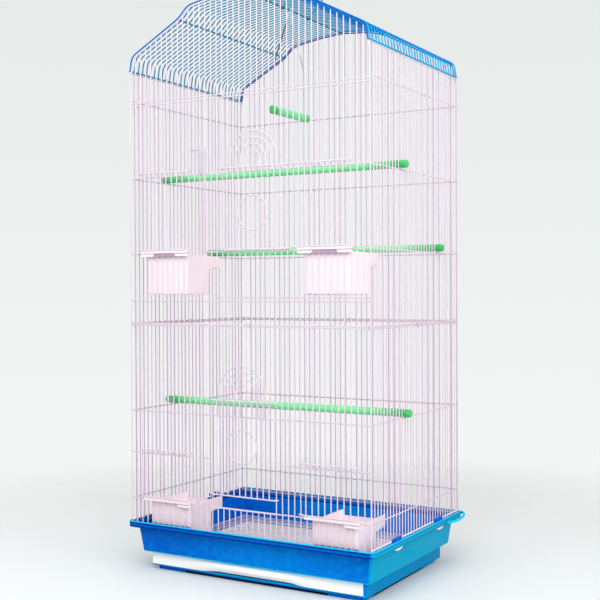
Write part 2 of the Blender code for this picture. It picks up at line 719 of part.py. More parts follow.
def make_swing():
    centre = Vector((0.0, bay_y(SWING_BAY), RIDGE_ROD))
    half = SWING_SPAN / 2
    shoulder = SWING_SHOULDER - RIDGE_ROD
    bar = SWING_BAR - RIDGE_ROD
    loop = SWING_BAR_NECK + GAP + HOOK_WIRE / 2
    hook = eye(EYE_RADIUS, -radians(110), radians(220), 8)
    neck = Vector((0.0, HOOK_WIRE * 2.2, -EYE_RADIUS * 5))
    leg_turn = eye(loop, 0.0, EYE_TURN, 12)
    rear = [Vector((0.0, half, bar)) + point for point in leg_turn]
    front = [Vector((0.0, -half, bar)) + Vector((-point.x, 0.0, point.z)) for point in leg_turn]
    route = list(reversed(front)) + [Vector((0.0, -half, shoulder)), Vector((0.0, -neck.y, neck.z))]
    route += hook + [neck, Vector((0.0, half, shoulder))] + rear
    frame = bmesh.new()
    wires(frame, [route], HOOK_WIRE)
    swing = add_part("swing_wire", frame, "white_wire", Matrix.Translation(centre))
    groove = HOOK_WIRE / 2 + GAP
    end = half + groove + SWING_KNOB
    soft = SWING_BAR_RADIUS * 0.35
    right = [(half - groove, SWING_BAR_RADIUS), (half - groove, SWING_BAR_NECK),
             (half + groove, SWING_BAR_NECK), (half + groove, SWING_BAR_RADIUS),
             (end - soft, SWING_BAR_RADIUS), (end, SWING_BAR_RADIUS - soft), (end, 0.0)]
    profile = [(-along, radius) for along, radius in reversed(right)] + right
    place = Matrix.Translation(centre + Vector((0, 0, bar))) @ Matrix.Rotation(pi / 2, 4, "Z")
    perch = turned("swing_perch", profile, "green_plastic", place)
    perch.parent = swing
    perch.matrix_parent_inverse = swing.matrix_world.inverted()


def make_handle():
    front, back = bay_y(HANDLE_BAYS[0]), bay_y(HANDLE_BAYS[1])
    middle = (front + back) / 2
    half = (back - front) / 2
    turn = eye(EYE_RADIUS, 0.0, EYE_TURN, 12)
    corner = [Vector((0.0, half - HANDLE_CORNER * (1 - cos(step * pi / 8)),
                      HANDLE_REACH - HANDLE_CORNER * (1 - sin(step * pi / 8)))) for step in range(5)]
    rear = corner[::-1] + [Vector((0.0, half, point.z)) + Vector((point.x, 0.0, 0.0)) for point in turn]
    front_side = [Vector((point.x, -point.y, point.z)) for point in reversed(rear)]
    bail = bmesh.new()
    wires(bail, [front_side + rear], HOOK_WIRE)
    place = Matrix.Translation((0.0, middle, RIDGE_ROD)) @ Matrix.Rotation(HANDLE_LEAN, 4, "Y")
    add_part("carry_handle", bail, "blue_wire", place)


def ring_points(half_x, half_y, z, radius):
    # One level ring of points: a rectangle with rounded corners.
    points = []
    for sx, sy, start in ((1, 1, 0), (-1, 1, 1), (-1, -1, 2), (1, -1, 3)):
        for step in range(RING_CORNER_STEPS + 1):
            angle = (start + step / RING_CORNER_STEPS) * pi / 2
            points.append((sx * (half_x - radius) + radius * cos(angle),
                           sy * (half_y - radius) + radius * sin(angle), z))
    return points


def stacked_rings(rings):
    # A closed shape through level rings, in the order given.
    bm = bmesh.new()
    number = bm.verts.layers.int.new("number")
    for place, point in enumerate(ring_points(*rings[0])):
        bm.verts.new(point)[number] = place
    cap = bm.faces.new(bm.verts)
    for ring in rings[1:]:
        points = ring_points(*ring)
        raised = bmesh.ops.extrude_face_region(bm, geom=[cap, *cap.edges, *cap.verts])
        cap = next(item for item in raised["geom"] if isinstance(item, bmesh.types.BMFace))
        for vert in cap.verts:
            vert.co = points[vert[number]]
    return bm


def make_base():
    foot_x = SKIRT_X - SKIRT_DRAFT
    foot_y = SKIRT_Y - SKIRT_DRAFT
    plinth_x = INSET_X - PLINTH_SETBACK
    plinth_y = INSET_Y - PLINTH_SETBACK
    under_rim = SEAT - BASE_WALL
    rim_foot = RIM_TOP - RIM_HEIGHT
    bevel = RIM_WALL / 2
    tight = RIM_CORNER * 0.5
    bm = stacked_rings([
        (plinth_x, plinth_y, 0.0, tight),
        (plinth_x, plinth_y, PLINTH_HEIGHT, tight),
        (INSET_X, INSET_Y, PLINTH_HEIGHT, tight),
        (INSET_X, INSET_Y, SKIRT_BOTTOM, tight),
        (foot_x, foot_y, SKIRT_BOTTOM, tight),
        (SKIRT_X, SKIRT_Y, under_rim, tight),
        (RIM_X - RIM_WALL, RIM_Y - RIM_WALL, under_rim, RIM_CORNER - RIM_WALL),
        (RIM_X - RIM_WALL, RIM_Y - RIM_WALL, rim_foot, RIM_CORNER - RIM_WALL),
        (RIM_X, RIM_Y, rim_foot, RIM_CORNER),
        (RIM_X, RIM_Y, RIM_TOP - bevel, RIM_CORNER),
        (RIM_X - bevel, RIM_Y - bevel, RIM_TOP, RIM_CORNER - bevel),
        (RIM_X - RIM_BEAD, RIM_Y - RIM_BEAD, RIM_TOP, tight),
        (RIM_X - RIM_BEAD, RIM_Y - RIM_BEAD, SEAT, tight),
        (SKIRT_X - BASE_WALL, SKIRT_Y - BASE_WALL, SEAT, tight - bevel),
        (foot_x - BASE_WALL, foot_y - BASE_WALL, LEDGE, tight - bevel),
        (CAVITY_X, CAVITY_Y, LEDGE, bevel),
        (CAVITY_X, CAVITY_Y, BASE_WALL, bevel),
    ])
    base = add_part("base", bm, "blue_plastic")
    slot = bmesh.new()
    box(slot, (-SLOT_X, -RIM_Y, SLOT_FLOOR), (SLOT_X, 0, SKIRT_BOTTOM - GAP))
    combine(base, slot, "DIFFERENCE")
    runners = bmesh.new()
    for x in (-SLOT_X / 2, SLOT_X / 2):
        box(runners, (x - RUNNER_WIDTH / 2, -CAVITY_Y - BASE_WALL / 2, BASE_WALL / 2),
            (x + RUNNER_WIDTH / 2, CAVITY_Y + BASE_WALL / 2, SLOT_FLOOR))
    combine(base, runners)
    lugs = bmesh.new()
    wires(lugs, [[(side * (RIM_X + x), RIM_Y + y, RIM_TOP + z) for x, y, z in LUG_ROUTE] for side in (-1, 1)],
          LUG_WIRE)
    combine(base, lugs)
    slots = bmesh.new()
    low, high = (HALF_WIDTH + leg for leg in BASE_CLIP_LEG)
    half = BASE_CLIP_LENGTH / 2 + GAP
    for y in (bay_y(bay) for bay in BASE_CLIP_BAYS):
        box(slots, (low - GAP, y - half, under_rim - GAP), (high + GAP, y + half, SEAT + GAP))
        box(slots, (-high - GAP, y - half, under_rim - GAP), (GAP - low, y + half, SEAT + GAP))
    combine(base, slots, "DIFFERENCE")


def tray_front():
    # The front of the tray: a sheet that bulges along its top and has an arch under it.
    low = SLOT_FLOOR + GAP
    high = SKIRT_BOTTOM - GAP
    half = INSET_X
    columns, rows = 20, 4
    bm = bmesh.new()
    bmesh.ops.create_grid(bm, x_segments=columns, y_segments=rows, size=1.0)
    for vert in bm.verts:
        x = vert.co.x * half
        rise = (vert.co.y + 1) / 2
        slope = (abs(x) - TRAY_ARCH_FLAT / 2) / (TRAY_ARCH_WIDTH - TRAY_ARCH_FLAT) * 2
        foot = low + TRAY_ARCH * (1 + cos(pi * min(max(slope, 0.0), 1.0))) / 2
        swell = (1 + cos(pi * min(abs(x) / (TRAY_BULGE_WIDTH / 2), 1.0))) / 2
        vert.co = (x, -TRAY_BULGE * swell * sin(pi * rise * 0.75), foot + (high - foot) * rise)
    sheet = bm.verts[:] + bm.edges[:] + bm.faces[:]
    back = bmesh.ops.extrude_face_region(bm, geom=sheet)
    for item in back["geom"]:
        if isinstance(item, bmesh.types.BMVert):
            item.co.y = TRAY_FRONT_WALL
    return bm


def make_tray():
    # The tray's origin is on the floor, on the outer face of the base that its front closes.
    half = SLOT_X - TRAY_RUN
    depth = INSET_Y + CAVITY_Y - TRAY_RUN
    low = SLOT_FLOOR + GAP
    high = SKIRT_BOTTOM - RIM_WALL
    body = bmesh.new()
    box(body, (-half, -TRAY_WALL, low), (half, depth, high))
    place = Matrix.Translation((0, -INSET_Y, 0))
    tray = add_part("slide_out_tray", body, "white_plastic", place)
    hollow = bmesh.new()
    box(hollow, (TRAY_WALL - half, TRAY_WALL, low + TRAY_WALL), (half - TRAY_WALL, depth - TRAY_WALL, LEDGE))
    combine(tray, hollow, "DIFFERENCE")
    face = tray_front()
    bmesh.ops.translate(face, vec=(0, -TRAY_FRONT_WALL - GAP, 0), verts=face.verts)
    combine(tray, face)


def make_grille():
    z = LEDGE + GAP + RAIL / 2
    half_x = SKIRT_X - SKIRT_DRAFT - GRILLE_MARGIN
    half_y = SKIRT_Y - SKIRT_DRAFT - GRILLE_MARGIN
    count = int(2 * half_y / GRILLE_PITCH)
    across = bmesh.new()
    along = bmesh.new()
    for number in range(count + 1):
        bar_x(across, -half_x, half_x, -half_y + 2 * half_y * number / count, z, GRILLE_WIRE)
    for share in (-1.0, 1.0):
        bar_y(along, -half_y - RAIL / 2, half_y + RAIL / 2, share * half_x, z, RAIL)
    grille = add_part("floor_grille", across, "white_wire")
    combine(grille, along)


def make_seam_clips():
    # A flat band round the two level wires where the tiers meet.
    low, high = SEAM - RAIL / 2 - GAP, UPPER_FOOT + RAIL / 2 + GAP
    inside = RAIL / 2 + GAP
    outside = inside + SEAM_CLIP_WALL
    side_bay = bay_y(SIDE_PITCHES // 2)
    corner_x = HALF_WIDTH - PITCH / 2
    front_x = upright_x(FRONT_PITCHES // 2 + 1) + PITCH / 2
    spots = [("front_middle", "front", front_x), ("back_middle", "back", -front_x),
             ("left_middle", "left", side_bay), ("right_middle", "right", side_bay),
             ("front_left", "front", -corner_x), ("front_right", "front", corner_x),
             ("back_left", "back", corner_x), ("back_right", "back", -corner_x)]
    for spot, side, x in spots:
        half = SEAM_CLIP_LENGTH / 2
        band = bmesh.new()
        box(band, (-half, -outside, low - SEAM_CLIP_WALL), (half, outside, high + SEAM_CLIP_WALL))
        place = wall_place(side) @ Matrix.Translation((x, 0, 0))
        clip = add_part("seam_clip_" + spot, band, "clip_metal", place)
        window = bmesh.new()
        box(window, (-half * 2, -inside, low), (half * 2, inside, high))
        combine(clip, window, "DIFFERENCE")


def make_base_clip(name, side, bay):
    # A snap clip over the cage's foot wire. Its leg goes through a slot in the rim and its toe hooks under
    # the rim's wall; teeth reach in between the uprights.
    inner, outer = BASE_CLIP_LEG
    over = RIM_TOP + GAP
    top = RIM_TOP + RAIL
    under = RIM_TOP - RIM_HEIGHT - GAP
    toe = under - BASE_CLIP_TOE_HEIGHT
    near = -RAIL / 2 - GAP
    half = BASE_CLIP_LENGTH / 2
    wedge = [(near, over), (near, top + BASE_CLIP_WALL), (-BASE_CLIP_BACK, over + BASE_CLIP_HEIGHT * 0.6),
             (-BASE_CLIP_BACK, over)]
    leg = [(-inner, top), (-outer, top), (-outer, under), (-BASE_CLIP_TOE, under), (-BASE_CLIP_TOE, toe),
           (-inner, toe)]
    side_on = Matrix(((0, 0, 1, 0), (1, 0, 0, 0), (0, 1, 0, 0), (0, 0, 0, 1)))
    body = bmesh.new()
    prism(body, wedge, half, side_on)
    y = bay_y(bay)
    x = y if side == "right" else -y
    clip = add_part(name, body, "blue_plastic", wall_place(side) @ Matrix.Translation((x, 0, 0)))
    snap = bmesh.new()
    prism(snap, leg, half - GAP, side_on)
    combine(clip, snap)
    teeth = bmesh.new()
    for shift in (-SIDE_PITCH, 0.0, SIDE_PITCH):
        tooth = BASE_CLIP_TOOTH / 2
        box(teeth, (shift - tooth, -RAIL, FOOT_RAIL + RAIL / 2 + GAP), (shift + tooth, RAIL / 2 + GAP, top))
    combine(clip, teeth)


def make_base_clips():
    for side in ("left", "right"):
        for spot, bay in zip(("front", "rear"), BASE_CLIP_BAYS):
            make_base_clip("base_clip_" + side + "_" + spot, side, bay)


make_base()
make_tray()
make_grille()
make_walls()
make_roof()
make_doors()
make_cups()
make_perches()
make_swing()
make_handle()
make_seam_clips()
make_base_clips()
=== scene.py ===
from math import cos, pi, radians, sin

import bmesh
import bpy
from mathutils import Matrix, Vector


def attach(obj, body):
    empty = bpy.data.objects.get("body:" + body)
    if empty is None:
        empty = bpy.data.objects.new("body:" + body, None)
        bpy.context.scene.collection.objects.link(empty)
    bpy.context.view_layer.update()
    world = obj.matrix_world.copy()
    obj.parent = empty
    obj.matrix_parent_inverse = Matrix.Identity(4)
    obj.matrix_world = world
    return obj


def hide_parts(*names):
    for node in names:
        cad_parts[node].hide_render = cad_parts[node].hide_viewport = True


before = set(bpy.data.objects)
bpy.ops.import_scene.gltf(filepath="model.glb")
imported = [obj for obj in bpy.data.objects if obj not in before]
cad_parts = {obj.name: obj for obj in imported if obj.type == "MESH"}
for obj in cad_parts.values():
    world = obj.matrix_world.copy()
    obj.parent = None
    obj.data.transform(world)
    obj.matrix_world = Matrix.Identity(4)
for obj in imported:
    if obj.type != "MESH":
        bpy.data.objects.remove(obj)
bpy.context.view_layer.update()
print("frame loaded")

# camera, solved from the photograph
view = {"place": (0.9337, -1.5891, 0.4798), "yaw": 30.272, "pitch": -0.603, "roll": -0.232, "lens": 63.70,
        "sensor": 36}


def makeCamera():
    yaw, pitch, roll = (radians(view[key]) for key in ("yaw", "pitch", "roll"))
    forward = Vector((-sin(yaw) * cos(pitch), cos(yaw) * cos(pitch), sin(pitch)))
    level = Vector((cos(yaw), sin(yaw), 0))
    upward = level.cross(forward)
    right = level * cos(roll) + upward * sin(roll)
    up = upward * cos(roll) - level * sin(roll)
    data = bpy.data.cameras.new("camera")
    data.lens = view["lens"]
    data.sensor_width = view["sensor"]
    camera = bpy.data.objects.new("camera", data)
    turn = Matrix((right, up, -forward)).transposed()
    camera.matrix_world = Matrix.Translation(view["place"]) @ turn.to_4x4()
    bpy.context.scene.collection.objects.link(camera)
    bpy.context.scene.camera = camera


makeCamera()
print("camera placed")


def plug(tree, socket, value):
    if isinstance(value, Tap):
        tree.links.new(value.socket, socket)
    else:
        socket.default_value = value


def maths(tree, kind, *values):
    made = tree.nodes.new("ShaderNodeMath")
    made.operation = kind
    for socket, value in zip(made.inputs, values):
        plug(tree, socket, value)
    return Tap(tree, made.outputs[0])


class Tap:
    # A node's output socket, on which plain maths adds Math nodes.
    def __init__(self, tree, socket):
        self.tree = tree
        self.socket = socket

    def __add__(self, other):
        return maths(self.tree, "ADD", self, other)

    def __sub__(self, other):
        return maths(self.tree, "SUBTRACT", self, other)

    def __rsub__(self, other):
        return maths(self.tree, "SUBTRACT", other, self)

    def __mul__(self, other):
        return maths(self.tree, "MULTIPLY", self, other)

    def __abs__(self):
        return maths(self.tree, "ABSOLUTE", self)

    __radd__ = __add__
    __rmul__ = __mul__


class Nodes:
    # One node tree. A node takes its type, its settings and the values or links of its sockets.
    def __init__(self, tree):
        self.tree = tree

    def node(self, kind, settings, sockets, output=0):
        made = self.tree.nodes.new(kind)
        for name, value in settings.items():
            setattr(made, name, value)
        for name, value in sockets.items():
            plug(self.tree, made.inputs[name], value)
        return Tap(self.tree, made.outputs[output])

    def place(self):
        return self.node("ShaderNodeTexCoord", {}, {}, "Object")

    def facing(self):
        return self.node("ShaderNodeNewGeometry", {}, {}, "Normal")

    def split(self, vector):
        # X, Y and Z of a vector.
        made = self.node("ShaderNodeSeparateXYZ", {}, {"Vector": vector})
        return [Tap(self.tree, socket) for socket in made.socket.node.outputs]

    def noise(self, scale, detail=2.0):
        return self.node("ShaderNodeTexNoise", {}, {"Vector": self.place(), "Scale": scale, "Detail": detail})

    def ramp(self, value, low, high, kind="SMOOTHSTEP"):
        return self.node("ShaderNodeMapRange", {"interpolation_type": kind},
                         {"Value": value, "From Min": low, "From Max": high})

    def band(self, value, low, lowEnd, high, highEnd):
        # One between two soft edges, nothing outside them.
        return self.ramp(value, low, lowEnd) * (1 - self.ramp(value, high, highEnd))

    def mixColors(self, share, first, second):
        made = self.tree.nodes.new("ShaderNodeMix")
        made.data_type = "RGBA"
        sides = [socket for socket in made.inputs if socket.type == "RGBA"]
        plug(self.tree, made.inputs["Factor"], share)
        for socket, value in zip(sides, (first, second)):
            plug(self.tree, socket, value if isinstance(value, Tap) else (*value, 1))
        return Tap(self.tree, next(socket for socket in made.outputs if socket.type == "RGBA"))


class Finish(Nodes):
    # One material and the nodes that feed its shader.
    def __init__(self, name, color, roughness, sockets):
        self.material = bpy.data.materials.new(name)
        self.material.use_nodes = True
        super().__init__(self.material.node_tree)
        self.shader = self.tree.nodes["Principled BSDF"]
        self.set("Base Color", (*color, 1))
        self.set("Roughness", roughness)
        for socket, value in sockets.items():
            self.set(socket, value)

    def set(self, socket, value):
        plug(self.tree, self.shader.inputs[socket], value)

    def roughen(self, roughness, cloud, spread, grain, depth, strength):
        # Gloss that varies in soft clouds, and a fine grain.
        self.set("Roughness", self.noise(cloud) * spread + (roughness - spread / 2))
        height = {"Height": self.noise(grain), "Distance": depth, "Strength": strength}
        self.set("Normal", self.node("ShaderNodeBump", {}, height))


# shared wire shapes
wireSides = 10


def straight(bm, start, end, radius):
    start, end = Vector(start), Vector(end)
    along = end - start
    place = Matrix.Translation((start + end) / 2) @ along.to_track_quat("Z", "Y").to_matrix().to_4x4()
    bmesh.ops.create_cone(bm, cap_ends=True, segments=wireSides, radius1=radius, radius2=radius,
                          depth=along.length, matrix=place)


def softened(points, radius, steps):
    # Rounds the corners of a route of points.
    points = [Vector(point) for point in points]
    made = points[:1]
    for before, corner, after in zip(points, points[1:], points[2:]):
        before, after = before - corner, after - corner
        cut = min(radius, before.length * 0.48, after.length * 0.48)
        first, last = corner + before.normalized() * cut, corner + after.normalized() * cut
        for step in range(steps + 1):
            share = step / steps
            made.append(first * (1 - share) ** 2 + corner * 2 * share * (1 - share) + last * share ** 2)
    return made + points[-1:]


def bent(bm, route, radius, sides=wireSides, closed=False):
    # A wire along a route: a circle extruded from point to point.
    path = [Vector(point) for point in route]
    tangents = []
    for number, point in enumerate(path):
        before = path[number - 1] if number or closed else point
        after = path[(number + 1) % len(path)] if closed or number < len(path) - 1 else point
        tangents.append((after - before).normalized())
    work = bmesh.new()
    turn = tangents[0].to_track_quat("Z", "Y")
    place = Matrix.Translation(path[0]) @ turn.to_matrix().to_4x4()
    bmesh.ops.create_circle(work, cap_ends=not closed, segments=sides, radius=radius, matrix=place)
    first = ring = work.edges[:]
    for number in range(1, len(path)):
        raised = bmesh.ops.extrude_edge_only(work, edges=ring)["geom"]
        verts = {item for item in raised if isinstance(item, bmesh.types.BMVert)}
        ring = [item for item in raised if isinstance(item, bmesh.types.BMEdge) and set(item.verts) <= verts]
        turn = tangents[number - 1].rotation_difference(tangents[number]) @ turn
        moved = Matrix.Translation(path[number]) @ turn.to_matrix().to_4x4()
        bmesh.ops.transform(work, matrix=moved @ place.inverted(), verts=list(verts))
        place = moved
    if closed:
        bmesh.ops.bridge_loops(work, edges=first + ring)
    else:
        bmesh.ops.contextual_create(work, geom=ring)
    bmesh.ops.recalc_face_normals(work, faces=work.faces)
    pour(bm, work)


def pour(bm, work, place=Matrix.Identity(4)):
    # Adds a finished shape to a larger one.
    mesh = bpy.data.meshes.new("work")
    work.to_mesh(mesh)
    work.free()
    mesh.transform(place)
    bm.from_mesh(mesh)
    bpy.data.meshes.remove(mesh)


def block(bm, low, high):
    low, high = Vector(low), Vector(high)
    place = Matrix.Translation((low + high) / 2) @ Matrix.Diagonal((*(high - low), 1))
    bmesh.ops.create_cube(bm, size=1, matrix=place)


def box(low, high):
    bm = bmesh.new()
    block(bm, low, high)
    return bm


def slab(bm, outline, place, depth):
    # A flat outline drawn in X and Y, extruded along its own Z, then placed.
    work = bmesh.new()
    face = work.faces.new([work.verts.new((x, y, 0)) for x, y in outline])
    raised = bmesh.ops.extrude_face_region(work, geom=[face])["geom"]
    verts = [item for item in raised if isinstance(item, bmesh.types.BMVert)]
    bmesh.ops.translate(work, vec=(0, 0, depth), verts=verts)
    bmesh.ops.translate(work, vec=(0, 0, -depth / 2), verts=work.verts)
    bmesh.ops.recalc_face_normals(work, faces=work.faces)
    pour(bm, work, place)


# turns a flat outline of depth and height to one seen from the side
sideOn = Matrix(((0, 0, 1, 0), (1, 0, 0, 0), (0, 1, 0, 0), (0, 0, 0, 1)))


def frontOn(y):
    # Stands a flat outline up at a distance behind the wall.
    return Matrix.Translation((0, y, 0)) @ Matrix.Rotation(pi / 2, 4, "X")


def show(name, data):
    item = bpy.data.objects.new(name, data)
    bpy.context.scene.collection.objects.link(item)
    return item


sharpAngle = radians(35)


def addPiece(name, bm, finish, nodes=(), body="cage", place=Matrix.Identity(4), edge=0, segments=2):
    bmesh.ops.transform(bm, matrix=place, verts=bm.verts)
    mesh = bpy.data.meshes.new(name)
    bm.to_mesh(mesh)
    bm.free()
    mesh.shade_smooth()
    mesh.set_sharp_from_angle(angle=sharpAngle)
    mesh.materials.append(finish.material)
    piece = show(name, mesh)
    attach(piece, body)
    if nodes:
        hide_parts(*nodes)
    if edge:
        bevel = piece.modifiers.new("edges", "BEVEL")
        bevel.width = edge
        bevel.segments = segments
        bevel.limit_method = "ANGLE"
        bevel.angle_limit = sharpAngle
        bevel.harden_normals = False


def pieceName(node, ending=""):
    # A node's name in camelCase.
    first, *rest = node.split("_")
    return first + "".join(word.title() for word in rest) + ending


def cutFrom(bm, cutter):
    # Takes one closed shape out of another.
    objects = []
    for shape in (bm, cutter):
        mesh = bpy.data.meshes.new("cut")
        shape.to_mesh(mesh)
        shape.free()
        objects.append(show("cut", mesh))
    cut = objects[0].modifiers.new("cut", "BOOLEAN")
    cut.operation = "DIFFERENCE"
    cut.solver = "EXACT"
    cut.object = objects[1]
    graph = bpy.context.evaluated_depsgraph_get()
    mesh = bpy.data.meshes.new_from_object(objects[0].evaluated_get(graph))
    made = bmesh.new()
    made.from_mesh(mesh)
    bpy.data.meshes.remove(mesh)
    for item in objects:
        bpy.data.objects.remove(item, do_unlink=True)
    return made


# finishes: colours are linear
colors = {"wirePaint": (0.71, 0.62, 0.69), "wireFootShade": (0.66, 0.55, 0.64), "litFootRail": (0.92, 0.82, 0.90),
          "rearPaint": (0.61, 0.485, 0.60), "rearFoot": (0.53, 0.395, 0.52), "roofPaint": (0.001, 0.15, 0.54),
          "roofTeal": (0.020, 0.235, 0.42), "roofEave": (0.004, 0.36, 0.66), "rearGable": (0.05, 0.045, 0.20),
          "hook": (0.60, 0.48, 0.60), "seamBand": (0.64, 0.56, 0.65), "grille": (0.50, 0.44, 0.545),
          "base": (0.0, 0.108, 0.55), "baseMiddle": (0.0, 0.185, 0.65), "baseStreak": (0.0, 0.27, 0.68),
          "litBaseEnds": (0.0, 0.32, 0.52), "litEndsLow": (0.0, 0.22, 0.46), "baseHighlight": (0.006, 0.50, 0.76),
          "rimGrooveShade": (0.0, 0.030, 0.20), "rimInsideHighlight": (0.001, 0.27, 0.62), "rimFace": (0.0, 0.080, 0.42),
          "sill": (0.0, 0.23, 0.60), "footShade": (0.0, 0.004, 0.015), "clip": (0.0, 0.095, 0.62),
          "toe": (0.82, 0.64, 0.72), "tray": (0.91, 0.90, 0.89), "swingNearShade": (0.055, 0.085, 0.045),
          "swingFarLit": (0.46, 0.55, 0.46), "swingHook": (0.62, 0.90, 0.84), "cup": (0.94, 0.82, 0.86),
          "cupLow": (0.81, 0.68, 0.72), "cupShade": (0.46, 0.30, 0.44), "cupRightLight": (0.085, 0.055, 0.052),
          "perch": (0.23, 0.76, 0.34), "perchEnd": (0.03, 0.42, 0.10)}
# where one colour gives way to the next: start and end, in metres
fades = {"wireFootShade": (0.12, 0.85), "roofEnd": (0.164, 0.168), "roofLeft": (0.01, 0.09),
         "rightEave": (0.220, 0.224), "eaveTop": (0.868, 0.880), "aboveEave": (0.8495, 0.8505),
         "gableRight": (-0.08, 0.02), "swingLegs": (-0.024, -0.016), "swingHook": (0.930, 0.945),
         "cupHeight": (0.13, 0.46), "perchEnds": (0.150, 0.230), "swingEnds": (0.040, 0.058)}
# the same by how far a face is turned
turned = {"cupRight": (0.3, 0.9), "baseOutside": (0.35, 0.85), "rimTop": (0.05, 0.6)}
# scale of clouds, their spread in roughness, scale of grain, its depth and strength
wireGrain = (60, 0.12, 420, 0.00006, 0.35)
plasticGrain = (35, 0.14, 900, 0.00004, 0.5)
baseGrain = (35, 0.14, 1100, 0.00007, 0.5)


def wireFinish(name, color, roughness, gloss=0.3, foot=None):
    made = Finish(name, color, roughness, {"Specular IOR Level": gloss})
    if foot:
        # painted shade: greyer towards the foot of the cage, where less light falls
        height = made.split(made.place())[2]
        made.set("Base Color", made.mixColors(made.ramp(height, *fades["wireFootShade"]), foot, color))
    made.roughen(roughness, *wireGrain)
    return made


def plasticFinish(name, color, roughness, gloss=0.25):
    made = Finish(name, color, roughness, {"Specular IOR Level": gloss})
    darker = tuple(0.90 * channel for channel in color)
    made.set("Base Color", made.mixColors(made.noise(9, 4), darker, color))
    made.roughen(roughness, *plasticGrain)
    return made


# the base's painted bands: heights, and reaches from its middle, with the start and end of each soft edge
baseBands = {"rim": (0.0758, 0.0764, 0.0842, 0.0848), "highGrooveShade": (0.0820, 0.0828, 0.0842, 0.0848),
             "lowGrooveShade": (0.0762, 0.0768, 0.0786, 0.0792), "sill": (0.0074, 0.0077, 0.0105, 0.0107),
             "sillHighlight": (0.0092, 0.0094, 0.0101, 0.0102), "skirtFootHighlight": (0.0316, 0.0318, 0.0332, 0.0338),
             "frontGap": (-0.142, -0.140, 0.134, 0.136), "sideGap": (-0.112, -0.110, 0.080, 0.082),
             "skirt": (0.029, 0.033), "middle": (0.02, 0.26), "plinthFoot": (0.0030, 0.0036),
             "rimInsideX": (0.2318, 0.2324), "rimInsideY": (0.1748, 0.1754), "rimInsideZ": (0.0816, 0.0824),
             "rimTop": (0.0848, 0.0856), "loop": (0.2354, 0.2360)}


def baseFinish():
    # Deep blue, with painted light that makes it paler and greener on its outer ends and along the rim's
    # raised edge.
    made = Finish("basePlastic", colors["base"], 0.40, {"Specular IOR Level": 0.025})
    across, depth, height = made.split(made.place())
    normals = made.split(made.facing())
    bands = {key: made.band(height, *baseBands[key])
             for key in ("rim", "highGrooveShade", "lowGrooveShade", "sill", "sillHighlight", "skirtFootHighlight")}
    outside = made.ramp(normals[0] * maths(made.tree, "SIGN", across), *turned["baseOutside"])
    front = 1 - outside
    # painted light on the outward ends, dimmer below the skirt
    ends = made.mixColors(made.ramp(height, *baseBands["skirt"]), colors["litEndsLow"], colors["litBaseEnds"])
    middle = 1 - made.ramp(abs(across - 0.06), *baseBands["middle"])
    blue = made.mixColors(middle * (0.45 + made.noise(22, 5) * 0.9), colors["base"], colors["baseMiddle"])
    streaks = made.ramp(made.noise(110, 3), 0.46, 0.66) * (0.25 + middle * 0.35)
    blue = made.mixColors(streaks, blue, colors["baseStreak"])
    blue = made.mixColors(bands["rim"] * 0.8, blue, colors["rimFace"])
    body = made.mixColors(outside * (0.75 + made.noise(16, 5) * 0.5), blue, ends)
    # painted shade: two dark lines round the rim where grooves would be, weaker on the outer ends
    grooveShade = bands["highGrooveShade"] + bands["lowGrooveShade"]
    body = made.mixColors(grooveShade * (0.95 - outside * 0.55), body, colors["rimGrooveShade"])
    # painted light: a paler sill under the tray and highlights along the skirt's foot and the sill's edge;
    # painted shadow of a dark gap under the middle of the plinth
    body = made.mixColors(front * bands["sill"], body, colors["sill"])
    body = made.mixColors(front * (bands["sillHighlight"] + bands["skirtFootHighlight"]) * 0.8, body, colors["baseHighlight"])
    gaps = made.band(across, *baseBands["frontGap"]) * front
    gaps = gaps + made.band(depth, *baseBands["sideGap"]) * outside
    body = made.mixColors((1 - made.ramp(height, *baseBands["plinthFoot"])) * gaps, body, colors["footShade"])
    # painted highlight: a paler edge along the rim's top and inner side, and the same pale colour on the
    # loops at its rear corners
    inside = 1 - made.ramp(abs(across), *baseBands["rimInsideX"])
    inside = inside * (1 - made.ramp(abs(depth), *baseBands["rimInsideY"]))
    body = made.mixColors(inside * made.ramp(height, *baseBands["rimInsideZ"]), body, colors["rimInsideHighlight"])
    edge = made.ramp(height, *baseBands["rimTop"]) * made.ramp(normals[2], *turned["rimTop"])
    edge = maths(made.tree, "MAXIMUM", edge, made.ramp(abs(across), *baseBands["loop"]))
    made.set("Base Color", made.mixColors(edge, body, colors["baseHighlight"]))
    made.roughen(0.37, *baseGrain)
    return made


def roofFinish():
    # Azure, teal over the left slope and paler on the right eave.
    made = wireFinish("roofPaint", colors["roofPaint"], 0.36, 0.04)
    across, along, height = made.split(made.place())
    tealShare = (1 - made.ramp(abs(along), *fades["roofEnd"])) * (1 - made.ramp(across, *fades["roofLeft"]))
    teal = made.mixColors(tealShare, colors["roofPaint"], colors["roofTeal"])
    eave = made.ramp(across, *fades["rightEave"]) * (1 - made.ramp(height, *fades["eaveTop"]))
    made.set("Base Color", made.mixColors(eave, teal, colors["roofEave"]))
    return made


def gableFinish():
    # White below the eaves and up the left side, in the roof's colour over the right one.
    made = wireFinish("gablePaint", colors["wirePaint"], 0.34, 0.1)
    across, along, height = made.split(made.place())
    share = made.ramp(across, *fades["gableRight"]) * made.ramp(height, *fades["aboveEave"])
    made.set("Base Color", made.mixColors(share, colors["wirePaint"], colors["roofPaint"]))
    return made


def shadedRearGableFinish():
    # Painted shade: the back gable is the wire paint turned dark purple above the eaves.
    made = wireFinish("shadedRearGablePaint", colors["rearGable"], 0.34, 0.1)
    share = made.ramp(made.split(made.place())[2], *fades["aboveEave"])
    made.set("Base Color", made.mixColors(share, colors["rearPaint"], colors["rearGable"]))
    return made


